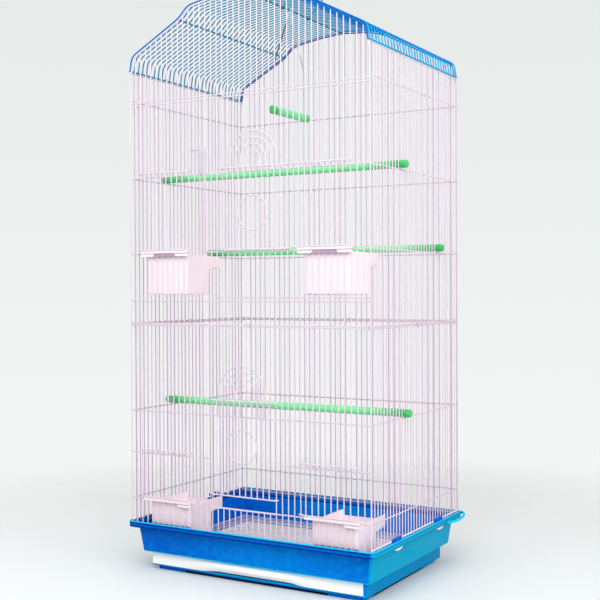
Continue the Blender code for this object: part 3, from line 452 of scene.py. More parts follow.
def swingFinish():
    # Painted shade makes the near leg dark olive, painted light makes the far one pale, and the hook at the
    # ridge is pale and bluish.
    made = wireFinish("swingPaint", colors["swingNearShade"], 0.30, 0.15)
    across, along, height = made.split(made.place())
    legs = made.mixColors(made.ramp(along, *fades["swingLegs"]), colors["swingNearShade"], colors["swingFarLit"])
    made.set("Base Color", made.mixColors(made.ramp(height, *fades["swingHook"]), legs, colors["swingHook"]))
    return made


def cupFinish():
    # Thin plastic. Painted shade greys the lower cups, and painted light makes the walls that face right glow
    # faintly.
    made = plasticFinish("cupPlastic", colors["cup"], 0.38)
    right = made.ramp(made.split(made.facing())[0], *turned["cupRight"])
    height = made.split(made.place())[2]
    low = (1 - made.ramp(height, *fades["cupHeight"])) * (1 - right * 0.6)
    made.set("Base Color", made.mixColors(low, colors["cup"], colors["cupLow"]))
    made.set("Emission Strength", 1.0)
    made.set("Emission Color", made.mixColors(right, (0, 0, 0), colors["cupRightLight"]))
    return made


def perchFinish(name, axis, middle, ends):
    # Darker green towards the ends of the bars.
    made = plasticFinish(name, colors["perch"], 0.36)
    reach = abs(made.split(made.place())[axis] - middle)
    share = made.ramp(reach, *ends) * (0.6 + made.noise(30) * 0.6)
    made.set("Base Color", made.mixColors(share, colors["perch"], colors["perchEnd"]))
    return made


wirePaint = wireFinish("wirePaint", colors["wirePaint"], 0.34, 0.2, colors["wireFootShade"])
roofPaint = roofFinish()
gablePaint = gableFinish()
seamMetal = wireFinish("seamMetal", colors["seamBand"], 0.30)
rearPaint = wireFinish("rearPaint", colors["rearPaint"], 0.34, 0.2, colors["rearFoot"])
shadedRearGablePaint = shadedRearGableFinish()
hookPaint = wireFinish("hookPaint", colors["hook"], 0.34)
# Painted shade: the floor grille's wires are darkened as if in the shadow inside the base.
shadedGrillePaint = wireFinish("shadedGrillePaint", colors["grille"], 0.36)
swingPaint = swingFinish()
basePlastic = baseFinish()
clipPlastic = plasticFinish("clipPlastic", colors["clip"], 0.40, 0.03)
# The foot rails take a paler copy of the wire paint: painted light along them.
litRailPaint = wireFinish("litRailPaint", colors["litFootRail"], 0.34)
trayPlastic = plasticFinish("trayPlastic", colors["tray"], 0.42)
cupPlastic = cupFinish()
shadePlastic = plasticFinish("shadePlastic", colors["cupShade"], 0.45)
toePlastic = plasticFinish("toePlastic", colors["toe"], 0.38)
perchPlastic = perchFinish("perchPlastic", 0, 0, fades["perchEnds"])
swingPlastic = perchFinish("swingPlastic", 1, -0.022, fades["swingEnds"])
print("finishes made")


# the cage: plan, wires and the heights of its level wires
cage = {"width": 0.455, "depth": 0.340, "frontGaps": 41, "sideGaps": 31,
        "upright": 0.00095, "frameWire": 0.00120, "sink": 0.0001, "clearance": 0.0003,
        "drawn": 0.94, "footLift": 0.0042, "tieEnd": 0.003, "lipRise": 0.0020}
levels = {"foot": 0.0827, "lowSill": 0.1249, "lowFeederHead": 0.2030, "lowHead": 0.2743, "seam": 0.4200,
          "upperFoot": 0.4227, "tie": 0.4600, "secondTie": 0.4662, "upperSill": 0.5402, "upperHead": 0.6676,
          "frontTopLow": 0.7896, "frontTop": 0.7952, "topBrace": 0.7996, "sideTop": 0.8481, "eave": 0.8510}
doorways = {"lowMain": (15, 26, "lowSill", "lowHead"), "lowLeft": (2, 11, "lowSill", "lowFeederHead"),
            "lowRight": (30, 39, "lowSill", "lowFeederHead"), "upperMain": (17, 28, "upperSill", "upperHead"),
            "upperLeft": (2, 11, "upperSill", "upperHead"), "upperRight": (29, 38, "upperSill", "upperHead")}
halfWidth, halfDepth = cage["width"] / 2, cage["depth"] / 2
frameWire, clearance = cage["frameWire"], cage["clearance"]


def uprightX(number):
    return cage["width"] * (number / cage["frontGaps"] - 0.5)


def uprightY(number):
    return cage["depth"] * (number / cage["sideGaps"] - 0.5)


def bayY(number):
    # Middle of a gap between side uprights, counted from the front.
    return uprightY(number + 0.5)


def standOn(side):
    # Moves what is drawn round the origin, facing the front, to one of the walls.
    turn = {"front": 0, "right": pi / 2, "back": pi, "left": -pi / 2}[side]
    move = {"front": (0, -halfDepth, 0), "right": (halfWidth, 0, 0),
            "back": (0, halfDepth, 0), "left": (-halfWidth, 0, 0)}[side]
    return Matrix.Translation(move) @ Matrix.Rotation(turn, 4, "Z")


roof = {"line": ((-0.2275, 0.8510), (-0.2240, 0.8750), (-0.1260, 0.9270), (-0.1065, 0.9465),
                 (-0.0560, 0.9550), (0.0, 0.9600), (0.0560, 0.9550), (0.0870, 0.9475), (0.2240, 0.8750),
                 (0.2275, 0.8510)),
        "rods": (2, 5, 7), "rib": 0.0011, "endRib": 0.0013, "rod": 0.0014, "gable": 0.0013,
        "gableDrop": 0.0033, "gableStart": 0.0120, "bend": 0.010}


def roofLine(drop=0.0):
    # Left to right over the roof, or the same line moved inwards.
    points = [Vector(point) for point in roof["line"]]
    moved = []
    for number, point in enumerate(points):
        before = points[max(number - 1, 0)]
        after = points[min(number + 1, len(points) - 1)]
        into = (point - before).normalized() if number else (after - point).normalized()
        out = (after - point).normalized() if number < len(points) - 1 else into
        normal = Vector((into.y + out.y, -into.x - out.x)).normalized()
        moved.append(point + normal * drop / normal.dot(Vector((into.y, -into.x))))
    return moved


def gableLine(side):
    # The front's gable, or its mirror image on the back.
    low = levels["eave"] - roof["gableStart"]
    route = [Vector((-halfWidth, low))] + roofLine(roof["gableDrop"]) + [Vector((halfWidth, low))]
    line = [Vector((p.x, p.y)) for p in softened([(p.x, p.y, 0) for p in route], roof["bend"], 6)]
    return line if side == "front" else [Vector((-point.x, point.y)) for point in reversed(line)]


def heightUnder(line, x):
    for left, right in zip(line, line[1:]):
        if left.x <= x <= right.x and right.x > left.x:
            return left.y + (right.y - left.y) * (x - left.x) / (right.x - left.x)
    return line[0].y


def levelWire(bm, x0, x1, z, behind):
    y = cage["upright"] + frameWire - cage["sink"] if behind else 0
    straight(bm, (x0, y, z), (x1, y, z), frameWire * cage["drawn"])


def addWall(bm, side, tier):
    # The two walls that the camera sees from outside are lighter; the back and left walls take a darker copy
    # of the same paint as painted shade.
    panel = side + "_" + tier
    paint = wirePaint if side in ("front", "right") else rearPaint
    addPiece(pieceName(panel, "Wires"), bm, paint, [panel + "_panel"], place=standOn(side))


def makeGable(side, line):
    arch = bmesh.new()
    bent(arch, [(p.x, 0, p.y) for p in line], roof["gable"])
    paint = gablePaint if side == "front" else shadedRearGablePaint
    addPiece(side + "Gable", arch, paint, place=standOn(side))


# a hooked wire left of the upper main door, to prop it open
propHook = {"wire": 0.0013, "bend": 0.003,
            "routes": (((-0.0725, -0.0008, 0.5385), (-0.0725, -0.0030, 0.5450),
                        (-0.0725, -0.0030, 0.7040), (-0.0725, 0, 0.7075)),
                       ((-0.0805, 0, 0.6650), (-0.0805, -0.0030, 0.6690),
                        (-0.0805, -0.0030, 0.7075), (-0.1005, -0.0030, 0.7075)))}


def makePropHook():
    bm = bmesh.new()
    for route in propHook["routes"]:
        bent(bm, softened(route, propHook["bend"], 4), propHook["wire"])
    addPiece("propHookWires", bm, hookPaint, place=standOn("front"))


def makeWall(side, tier, names, ties):
    bm = bmesh.new()
    low = levels["foot" if tier == "lower" else "upperFoot"]
    gable = gableLine(side) if tier == "upper" else None
    openings = [doorways[key] for key in names]
    count = cage["frontGaps"]
    for number in range(count + 1):
        x = uprightX(number)
        end = levels["seam"]
        if gable:
            end = heightUnder(gable, x) if 0 < number < count else gable[0].y + roof["gable"] / 2
        spans = [(low, end)]
        for first, last, sill, head in openings:
            if first < number < last:
                spans = [(low, levels[sill]), (levels[head], end)]
        thick = frameWire if number in (0, count) else cage["upright"]
        for z0, z1 in spans:
            straight(bm, (x, 0, z0), (x, 0, z1), thick * cage["drawn"])
    reach = halfWidth + frameWire
    levelWire(bm, -reach, reach, low, False)
    if gable:
        makeGable(side, gable)
    else:
        levelWire(bm, -reach, reach, levels["seam"], False)
    for first, last, sill, head in openings:
        for key in (sill, head):
            levelWire(bm, uprightX(first), uprightX(last), levels[key], False)
    full = halfWidth + cage["upright"] * 1.2
    for key, first, last in ties:
        x0 = -full if first == 0 else uprightX(first) - cage["tieEnd"]
        x1 = full if last == count else uprightX(last) + cage["tieEnd"]
        levelWire(bm, x0, x1, levels[key], True)
    if side == "front" and gable:
        makePropHook()
    addWall(bm, side, tier)


def makeSideWall(side, tier):
    bm = bmesh.new()
    foot, head, *ties = ("foot", "seam", "lowSill", "lowHead") if tier == "lower" else (
        "upperFoot", "sideTop", "upperSill", "upperHead", "topBrace")
    low, high = levels[foot], levels[head]
    for number in range(1, cage["sideGaps"]):
        x = uprightY(number)
        straight(bm, (x, 0, low), (x, 0, high), cage["upright"] * cage["drawn"])
    reach = halfDepth - frameWire - clearance
    straight(bm, (-reach, 0, high), (reach, 0, high), frameWire)
    if tier == "lower":
        rail = bmesh.new()
        lifted = low + cage["footLift"]
        straight(rail, (-reach, 0, lifted), (reach, 0, lifted), frameWire)
        addPiece(side + "FootRail", rail, litRailPaint, place=standOn(side))
    else:
        straight(bm, (-reach, 0, low), (reach, 0, low), frameWire)
    inside = halfDepth - cage["upright"] - 2 * frameWire - 2 * clearance
    for key in ties:
        levelWire(bm, -inside, inside, levels[key], True)
    addWall(bm, side, tier)


makeWall("front", "lower", ("lowMain", "lowLeft", "lowRight"),
         [("lowSill", 0, 41), ("lowHead", 0, 41), ("lowFeederHead", 0, 14), ("lowFeederHead", 27, 41)])
makeWall("back", "lower", (), [("lowSill", 0, 41), ("lowHead", 0, 41)])
makeWall("front", "upper", ("upperMain", "upperLeft", "upperRight"),
         [("tie", 0, 41), ("secondTie", 16, 41), ("upperSill", 0, 41), ("upperHead", 0, 41),
          ("frontTopLow", 0, 41), ("frontTop", 0, 41)])
makeWall("back", "upper", (), [("upperSill", 0, 41), ("upperHead", 0, 41), ("topBrace", 0, 41)])
for side in ("left", "right"):
    for tier in ("lower", "upper"):
        makeSideWall(side, tier)
print("walls made")


def makeRoof():
    bm = bmesh.new()
    line = softened([(p.x, 0, p.y) for p in roofLine()], roof["bend"], 6)
    for number in range(cage["sideGaps"] + 1):
        end = number in (0, cage["sideGaps"])
        y = uprightY(number)
        bent(bm, [(p.x, y, p.z) for p in line], roof["endRib"] if end else roof["rib"], 8)
    reach = halfDepth + roof["rod"]
    for x in (-halfWidth, halfWidth):
        straight(bm, (x, -reach, levels["eave"]), (x, reach, levels["eave"]), roof["rod"])
    below = roofLine(roof["rib"] + roof["rod"] + clearance)
    inner = halfDepth - roof["gable"] - clearance
    for number in roof["rods"]:
        x, z = below[number]
        straight(bm, (x, -inner, z), (x, inner, z), roof["rod"])
    addPiece("roofWires", bm, roofPaint, ["roof"])


makeRoof()
print("roof made")


door = {"standOff": 0.0038, "bar": 0.0011, "upright": 0.00095, "lap": 0.0065, "lift": 0.0195,
        "hook": 0.00235, "wrap": (50, 19), "unwrap": (0.0040, -0.0034), "level": 0.0062,
        "ring": 0.0275, "ringFront": 1.6, "ringRise": 0.0040, "upperRingRise": -0.0076,
        "fan": (0.0440, 0.0335, 0.0230, 0.0125), "fanLeg": 0.0130}


def hookedBar(bm, left, right, z):
    # A level wire whose ends wrap round the two jambs.
    start, turn = door["wrap"]
    angles = [radians(start + step * turn) for step in range(12)]
    route = [(left + door["hook"] * cos(angle), door["hook"] * sin(angle), z) for angle in angles]
    x, y = door["unwrap"]
    route += [(left + x, y, z), (left + door["level"], -door["standOff"], z)]
    mirror = [(left + right - x, y, z) for x, y, z in reversed(route)]
    bent(bm, route + mirror, door["bar"])


def arcPoints(middle, radius, y, height, turn, steps):
    angles = [radians(turn * step / steps) for step in range(steps + 1)]
    return [(middle + radius * cos(angle), y, height + radius * sin(angle)) for angle in angles]


def makeDoor(node, key, lift, clear, ringRise=None):
    first, last, sill, head = doorways[key]
    low = levels[sill] + clear + clearance + door["bar"] + lift
    high = levels[head] + door["lap"] + lift
    y = -door["standOff"]
    bm = bmesh.new()
    for number in range(first + 1, last):
        straight(bm, (uprightX(number), y, low), (uprightX(number), y, high), door["upright"])
    for z in (low, high):
        hookedBar(bm, uprightX(first), uprightX(last), z)
    if ringRise is not None:
        middle = (uprightX(first) + uprightX(last)) / 2
        for radius in door["fan"]:
            arch = arcPoints(middle, radius, y, high + door["fanLeg"], 180, 24)
            bent(bm, [(middle + radius, y, high)] + arch + [(middle - radius, y, high)], door["upright"])
        ahead = y - door["ringFront"] * door["upright"]
        ring = arcPoints(middle, door["ring"], ahead, (low + high) / 2 + ringRise, 360, 40)
        bent(bm, ring[:-1], door["upright"], closed=True)
    addPiece(pieceName(node, "Wires"), bm, wirePaint, [node], node, standOn("front"))


makeDoor("lower_main_door", "lowMain", door["lift"], frameWire, door["ringRise"])
makeDoor("upper_main_door", "upperMain", 0, frameWire, door["upperRingRise"])
cupLip = frameWire + clearance + cage["lipRise"]  # top of a cup's lip, over its sill
feeders = {"lower_left": "lowLeft", "lower_right": "lowRight",
           "upper_left": "upperLeft", "upper_right": "upperRight"}
for spot, key in feeders.items():
    makeDoor(spot + "_feeder_door", key, 0, cupLip)
print("doors made")


cup = {"width": 0.082, "height": 0.070, "front": 0.00395, "depth": 0.067, "wall": 0.0020, "reach": 0.0335,
       "step": (0.0415, 0.0095, 0.0125), "under": 0.0262, "endUnder": 0.0240, "side": 0.0040,
       "lip": (0.0065, 0.0045), "lid": (0.0250, 0.008), "spoutLip": 0.0130, "corner": 0.0035, "edge": 0.0005,
       "narrow": 0.0030, "lipWidth": 0.096, "bar": 0.0036, "lowBar": 0.0048, "groove": 0.0014,
       "grooveEnd": 0.0004, "tab": 0.0040, "notch": 0.047, "slant": 0.0025,
       "shift": {"lowLeft": 0.0025, "lowRight": 0.0049, "upperLeft": 0, "upperRight": 0.0056}}
cupEnd = cup["front"] + cup["depth"] + cup["reach"]


def cupSide(stepped):
    # The cup's outline from the side: distance behind the wall, height over its sill.
    front, back, foot = cup["front"], cup["front"] + cup["depth"], -cup["height"]
    fall, inwards, far = cup["step"]
    points = [(front, cupLip)]
    if stepped:
        points += [(front, -fall), (front + inwards, -fall - cup["edge"]), (front + far, foot)]
    else:
        points += [(front, foot)]
    points += [(back, foot), (back, -cup["under"]), (cupEnd, -cup["endUnder"]), (cupEnd, -cup["side"]),
               (front + cup["lip"][0], -cup["side"]), (front + cup["lip"][1], cupLip)]
    return points


def endWall(bm):
    return [face for face in bm.faces
            if face.normal.y > 0.99 and face.calc_center_median().y > cupEnd - cup["edge"]]


def makeCup(spot, key):
    first, last, sill = doorways[key][:3]
    low = spot.startswith("lower")
    wall = cup["wall"]
    width = cup["width"] - (cup["narrow"] if low else 0)
    bm = bmesh.new()
    slab(bm, cupSide(low), sideOn @ Matrix.Translation((0, 0, (cup["width"] - width) / 2)), width)
    bmesh.ops.recalc_face_normals(bm, faces=bm.faces)
    # open on top and at the slope behind the lip
    under, depth = cup["lid"]
    lids = [face for face in bm.faces if face.normal.z > 0.3 and face.calc_center_median().z > -under
            or face.normal.y > 0.5 and face.calc_center_median().y < cup["front"] + depth]
    rounded = [edge for edge in bm.edges if not set(edge.link_faces) & set(lids)]
    bmesh.ops.delete(bm, geom=lids, context="FACES_ONLY")
    bmesh.ops.bevel(bm, geom=rounded, offset=cup["corner"], affect="EDGES", segments=4, profile=0.5,
                    material=-1, clamp_overlap=True)
    # the spout's end wall stops at its lip
    around = {item for face in endWall(bm) for item in (face, *face.edges, *face.verts)}
    bmesh.ops.bisect_plane(bm, geom=list(around), plane_co=(0, 0, -cup["spoutLip"]), plane_no=(0, 0, 1))
    above = [face for face in endWall(bm) if face.calc_center_median().z > -cup["spoutLip"]]
    bmesh.ops.delete(bm, geom=above, context="FACES")
    bmesh.ops.solidify(bm, geom=bm.faces[:], thickness=wall)
    # the lip that hooks over the sill: a bar, a groove under it and a tab at each end, with dark strips of
    # painted shade in the grooves
    lipFront = -frameWire - clearance - wall
    half, notch, slant = cup["lipWidth"] / 2, cup["notch"] / 2, cup["slant"]
    barFoot = cupLip - cup["lowBar" if low else "bar"]
    tabHead = barFoot - cup["groove"]
    tabFoot = tabHead - cup["tab"]
    block(bm, (-half, lipFront, barFoot), (half, lipFront + wall, cupLip))
    # painted shade: dark mauve strips in the grooves, and on the upper cups a web between the tabs
    shade = bmesh.new()
    for outer in (1,) if low else (-1, 1):
        slab(bm, [(outer * half, tabHead), (outer * half, tabFoot), (outer * notch, tabFoot),
                  (outer * (notch - slant), tabHead)], frontOn(lipFront + wall * 0.6), wall * 0.8)
        left, right = sorted((outer * (half - cup["grooveEnd"]), outer * (notch - slant)))
        block(shade, (left, lipFront + wall * 0.5, tabHead - clearance),
              (right, lipFront + wall, barFoot + clearance))
    if not low:
        web = [(-notch, tabFoot), (slant - notch, barFoot), (notch - slant, barFoot), (notch, tabFoot)]
        slab(shade, web, frontOn(lipFront + wall * 0.8), wall * 0.3)
    half = cup["width"] / 2 - cup["edge"]
    block(bm, (-half, lipFront + cup["edge"], cupLip - wall),
          (half, cup["front"] + wall * 0.6, cupLip - cage["sink"]))
    middle = (uprightX(first) + uprightX(last)) / 2 + cup["shift"][key]
    place = Matrix.Translation((middle, -halfDepth, levels[sill]))
    addPiece(pieceName(spot, "CupShell"), bm, cupPlastic, [spot + "_cup"],
             place=place, edge=cup["edge"])
    addPiece(pieceName(spot, "CupGrooveShade"), shade, shadePlastic, place=place)


for spot, key in feeders.items():
    makeCup(spot, key)
print("cups made")


perch = {"radius": 0.0063, "neck": 0.0041, "knob": 0.0120, "round": 0.0022, "ease": 0.0008, "sides": 28,
         "bays": {"low": 10, "middle": 22, "high": 9},
         "rails": {"low": "lowHead", "middle": "upperSill", "high": "upperHead"}}


def turnedBar(bar, inside, outside):
    # A bar along X with a neck near each end and a knob past it.
    radius, bend, ease = bar["radius"], bar["round"], bar["ease"]
    end = outside + bar["knob"]
    half = [(inside - ease, radius), (inside, radius - ease), (inside, bar["neck"]),
            (outside, bar["neck"]), (outside, radius - ease), (outside + ease, radius)]
    for step in range(6):
        angle = radians(18 * step)
        half.append((end - bend + bend * sin(angle), radius - bend + bend * cos(angle)))
    half.append((end, 0))
    bm = bmesh.new()
    verts = [bm.verts.new((-along, 0, radius)) for along, radius in reversed(half)]
    verts += [bm.verts.new((along, 0, radius)) for along, radius in half]
    for first, second in zip(verts, verts[1:]):
        bm.edges.new((first, second))
    bmesh.ops.spin(bm, geom=bm.verts[:] + bm.edges[:], cent=(0, 0, 0), axis=(1, 0, 0), angle=2 * pi,
                   steps=perch["sides"], use_merge=True, use_duplicate=False)
    bmesh.ops.remove_doubles(bm, verts=bm.verts, dist=0.000005)
    bmesh.ops.recalc_face_normals(bm, faces=bm.faces)
    return bm


def makePerch(name):
    gap = cage["upright"] + clearance
    height = levels[perch["rails"][name]] + frameWire + clearance + perch["radius"]
    place = Matrix.Translation((0, bayY(perch["bays"][name]), height))
    bm = turnedBar(perch, halfWidth - gap, halfWidth + gap)
    addPiece(name + "PerchBar", bm, perchPlastic, [name + "_perch"], place=place)


for name in perch["bays"]:
    makePerch(name)

swing = {"bay": 13, "span": 0.098, "shoulder": 0.8610, "spread": 0.0048, "bend": 0.010, "wire": 0.0011,
         "pivot": 0.9573, "hook": radians(110), "turn": radians(280), "bar": 0.7795, "radius": 0.0070,
         "neck": 0.0045, "knob": 0.0088, "round": 0.0025, "ease": 0.0008}


def eyePoints(radius, start, turn, steps):
    angles = [start + turn * step / steps for step in range(steps + 1)]
    return [(radius * sin(angle), radius * cos(angle)) for angle in angles]


def makeSwing():
    middle, half = bayY(swing["bay"]), swing["span"] / 2
    groove = swing["wire"] + clearance
    hang, hold = roof["rod"] + groove, swing["neck"] + groove
    turns = eyePoints(hang, -swing["hook"], 2 * swing["hook"], 14)
    hook = [(x, middle, swing["pivot"] + z) for x, z in turns]
    legs = []
    for outer, start in ((-1, hook[0]), (1, hook[-1])):
        y = middle + outer * half
        loop = [(outer * x, y, swing["bar"] + z) for x, z in eyePoints(hold, 0, swing["turn"], 20)]
        under = (0, middle + outer * swing["spread"], swing["pivot"] - 5 * hang)
        leg = softened([start, under, (0, y, swing["shoulder"]), loop[0]], swing["bend"], 6)
        legs.append(leg + loop[1:])
    bm = bmesh.new()
    bent(bm, legs[0][::-1] + hook[1:-1] + legs[1], swing["wire"])
    addPiece("swingWire", bm, swingPaint, ["swing_wire"], "swing")
    place = Matrix.Translation((0, middle, swing["bar"])) @ Matrix.Rotation(pi / 2, 4, "Z")
    bm = turnedBar(swing, half - groove, half + groove)
    addPiece("swingBar", bm, swingPlastic, ["swing_perch"], "swing", place)


makeSwing()

handle = {"bays": (11, 19), "reach": 0.058, "corner": 0.012, "lean": radians(45), "wire": 0.0011,
          "turn": radians(280)}


def makeHandle():
    near, far = handle["bays"]
    half, reach = (bayY(far) - bayY(near)) / 2, handle["reach"]
    turns = eyePoints(roof["rod"] + clearance + handle["wire"], 0, handle["turn"], 20)
    eye = [(x, half, z) for x, z in turns]
    start = eye[0][2]
    top = softened([(0, -half, start), (0, -half, reach), (0, half, reach), (0, half, start)],
                   handle["corner"], 8)
    mirror = [(x, -y, z) for x, y, z in reversed(eye)]
    bm = bmesh.new()
    bent(bm, mirror[:-1] + top + eye[1:], handle["wire"])
    place = Matrix.Translation((0, 0, swing["pivot"])) @ Matrix.Rotation(handle["lean"], 4, "Y")
    addPiece("carryHandleWire", bm, roofPaint, ["carry_handle"], "carry_handle", place)


makeHandle()
print("perches, swing and handle made")


# base, tray and grille
base = {"rimX": 0.2350, "rimY": 0.1780, "rimTop": 0.0862, "rimHeight": 0.0100, "rimWall": 0.0025,
        "corner": 0.014, "tight": 0.007, "cavityCorner": 0.0013, "cornerSteps": 8, "skirtX": 0.2235,
        "skirtY": 0.1625, "draft": 0.0060, "skirtBottom": 0.0320, "inset": 0.0105, "bead": 0.0034,
        "seat": 0.0812, "plinth": 0.0075, "plinthSetback": 0.0080, "slotFloor": 0.0103, "wall": 0.0030,
        "runner": 0.0060, "sunk": 0.001, "edge": 0.0009, "loopWire": 0.0023, "loopBend": 0.008,
        "loop": ((0.2340, 0.1060, 0.0780), (0.2400, 0.1150, 0.0778), (0.2442, 0.1310, 0.0785),
                 (0.2450, 0.1490, 0.0800), (0.2425, 0.1660, 0.0815), (0.2370, 0.1745, 0.0830),
                 (0.2300, 0.1740, 0.0835))}
clip = {"bays": (7, 22), "length": 0.0270, "leg": (0.0019, 0.0034), "legEnd": 0.0015, "back": 0.0055,
        "wall": 0.0028, "height": 0.0060, "teeth": 3, "tooth": 0.0070, "toothBack": 0.0022,
        "toothFront": 0.0013, "toothFoot": 0.0015, "toe": 0.0068, "toeDrop": 0.0036, "edge": 0.0004}
insetX, insetY = (base[key] - base["draft"] - base["inset"] for key in ("skirtX", "skirtY"))
cavityX, cavityY = (size - base["plinthSetback"] - base["wall"] for size in (insetX, insetY))
slotX = cavityX - base["wall"]


def ringPoints(halfX, halfY, z, radius):
    points = []
    x, y, steps = halfX - radius, halfY - radius, base["cornerSteps"]
    for number, (sx, sy) in enumerate(((1, 1), (-1, 1), (-1, -1), (1, -1))):
        for step in range(steps + 1):
            angle = (number + step / steps) * pi / 2
            points.append((sx * x + radius * cos(angle), sy * y + radius * sin(angle), z))
    return points


def stackedRings(rings):
    # Extrudes a rounded rectangle from ring to ring: (half X, half Y, height, corner radius).
    bm = bmesh.new()
    number = bm.verts.layers.int.new("number")
    for place, point in enumerate(ringPoints(*rings[0])):
        bm.verts.new(point)[number] = place
    cap = bm.faces.new(bm.verts)
    for ring in rings[1:]:
        points = ringPoints(*ring)
        raised = bmesh.ops.extrude_face_region(bm, geom=[cap, *cap.edges, *cap.verts])["geom"]
        cap = next(item for item in raised if isinstance(item, bmesh.types.BMFace))
        for vert in cap.verts:
            vert.co = points[vert[number]]
    bmesh.ops.recalc_face_normals(bm, faces=bm.faces)
    return bm


def makeBase():
    rimX, rimY, top, wall = base["rimX"], base["rimY"], base["rimTop"], base["wall"]
    skirtX, skirtY, foot = base["skirtX"], base["skirtY"], base["skirtBottom"]
    footX, footY = skirtX - base["draft"], skirtY - base["draft"]
    plinthX, plinthY = insetX - base["plinthSetback"], insetY - base["plinthSetback"]
    lip, bead, seat = base["rimWall"], base["bead"], base["seat"]
    corner, tight, cavity = base["corner"], base["tight"], base["cavityCorner"]
    rimFoot = top - base["rimHeight"]
    bm = stackedRings([
        (plinthX, plinthY, 0, tight), (plinthX, plinthY, base["plinth"], tight),
        (insetX, insetY, base["plinth"], tight), (insetX, insetY, foot, tight), (footX, footY, foot, tight),
        (skirtX, skirtY, seat - wall, tight), (rimX - lip, rimY - lip, seat - wall, corner - lip),
        (rimX - lip, rimY - lip, rimFoot, corner - lip), (rimX, rimY, rimFoot, corner),
        (rimX, rimY, top - lip / 2, corner), (rimX - lip / 2, rimY - lip / 2, top, corner - lip / 2),
        (rimX - bead, rimY - bead, top, tight), (rimX - bead, rimY - bead, seat, tight),
        (skirtX - wall, skirtY - wall, seat, tight - lip / 2),
        (footX - wall, footY - wall, foot + wall, tight - lip / 2),
        (cavityX, cavityY, foot + wall, cavity), (cavityX, cavityY, wall, cavity)])
    cutter = box((-slotX, -rimY, base["slotFloor"]), (slotX, 0, foot - clearance))
    near, far = halfWidth + clip["leg"][0] - clearance, halfWidth + clip["leg"][1] + clearance
    reach = clip["length"] / 2 + clearance
    for y in (bayY(bay) for bay in clip["bays"]):
        for left, right in ((-far, -near), (near, far)):
            block(cutter, (left, y - reach, seat - wall - clearance), (right, y + reach, seat + clearance))
    bm = cutFrom(bm, cutter)
    half, sunk = base["runner"] / 2, base["sunk"]
    for x in (-slotX / 2, slotX / 2):
        block(bm, (x - half, -cavityY - sunk, wall - sunk), (x + half, cavityY + sunk, base["slotFloor"]))
    for outer in (-1, 1):
        loop = [(outer * x, y, z) for x, y, z in base["loop"]]
        bent(bm, softened(loop, base["loopBend"], 6), base["loopWire"])
    addPiece("baseShell", bm, basePlastic, ["base"], edge=base["edge"], segments=3)


tray = {"wall": 0.0016, "run": 0.0012, "front": 0.0025, "arch": 0.0029, "archWidth": 0.205,
        "archFlat": 0.130, "bulge": 0.0073, "bulgeWidth": 0.330, "short": 0.0055, "recess": 0.022,
        "spare": 0.01, "edge": 0.0005}


def makeTrayFront():
    # A sheet that bulges along its top and is arched underneath, then given its thickness.
    low, high = base["slotFloor"] + clearance, base["skirtBottom"] - clearance
    bm = bmesh.new()
    bmesh.ops.create_grid(bm, x_segments=96, y_segments=18, size=1)
    for vert in bm.verts:
        x = vert.co.x * (insetX - tray["short"])
        rise = (vert.co.y + 1) / 2
        slope = min(max((abs(x) - tray["archFlat"] / 2) / (tray["archWidth"] - tray["archFlat"]) * 2, 0), 1)
        foot = low + tray["arch"] * (1 + cos(pi * slope)) / 2
        swell = (1 + cos(pi * min(abs(x) / (tray["bulgeWidth"] / 2), 1))) / 2
        vert.co = (x, -tray["bulge"] * swell * sin(pi * rise), foot + (high - foot) * rise)
    raised = bmesh.ops.extrude_face_region(bm, geom=bm.faces[:] + bm.edges[:] + bm.verts[:])["geom"]
    for item in raised:
        if isinstance(item, bmesh.types.BMVert):
            item.co.y = tray["front"]
    bmesh.ops.translate(bm, vec=(0, -tray["front"] - clearance, 0), verts=bm.verts)
    bmesh.ops.recalc_face_normals(bm, faces=bm.faces)
    return bm


def makeTray():
    half = slotX - tray["run"]
    depth = insetY + cavityY - tray["run"]
    low, high = base["slotFloor"] + clearance, base["skirtBottom"] - base["rimWall"]
    wall, spare = tray["wall"], tray["spare"]
    outside = box((-half, -wall, low), (half, depth, high))
    hollow = box((wall - half, wall, low + wall), (half - wall, depth - wall, high + spare))
    # the floor is raised behind the finger arch
    shapes = []
    for shape, skin in ((outside, 0), (hollow, wall)):
        reach, rise = tray["archWidth"] / 2 + skin, tray["arch"] + skin
        recess = box((-reach, -spare, low - spare), (reach, tray["recess"] + skin, low + rise))
        shapes.append(cutFrom(shape, recess))
    bm = cutFrom(*shapes)
    pour(bm, makeTrayFront())
    addPiece("trayShell", bm, trayPlastic, ["slide_out_tray"], "tray",
             Matrix.Translation((0, -insetY, 0)), tray["edge"])


grille = {"pitch": 0.011, "margin": 0.0078, "wire": 0.0009, "frame": 0.0012}


def makeGrille():
    z = base["skirtBottom"] + base["wall"] + clearance + grille["frame"]
    halfX = base["skirtX"] - base["draft"] - grille["margin"]
    halfY = base["skirtY"] - base["draft"] - grille["margin"]
    count = int(2 * halfY / grille["pitch"])
    bm = bmesh.new()
    for number in range(count + 1):
        y = halfY * (2 * number / count - 1)
        straight(bm, (-halfX, y, z), (halfX, y, z), grille["wire"])
    for x in (-halfX, halfX):
        straight(bm, (x, -halfY - grille["frame"], z), (x, halfY + grille["frame"], z), grille["frame"])
    addPiece("floorGrilleWires", bm, shadedGrillePaint, ["floor_grille"])


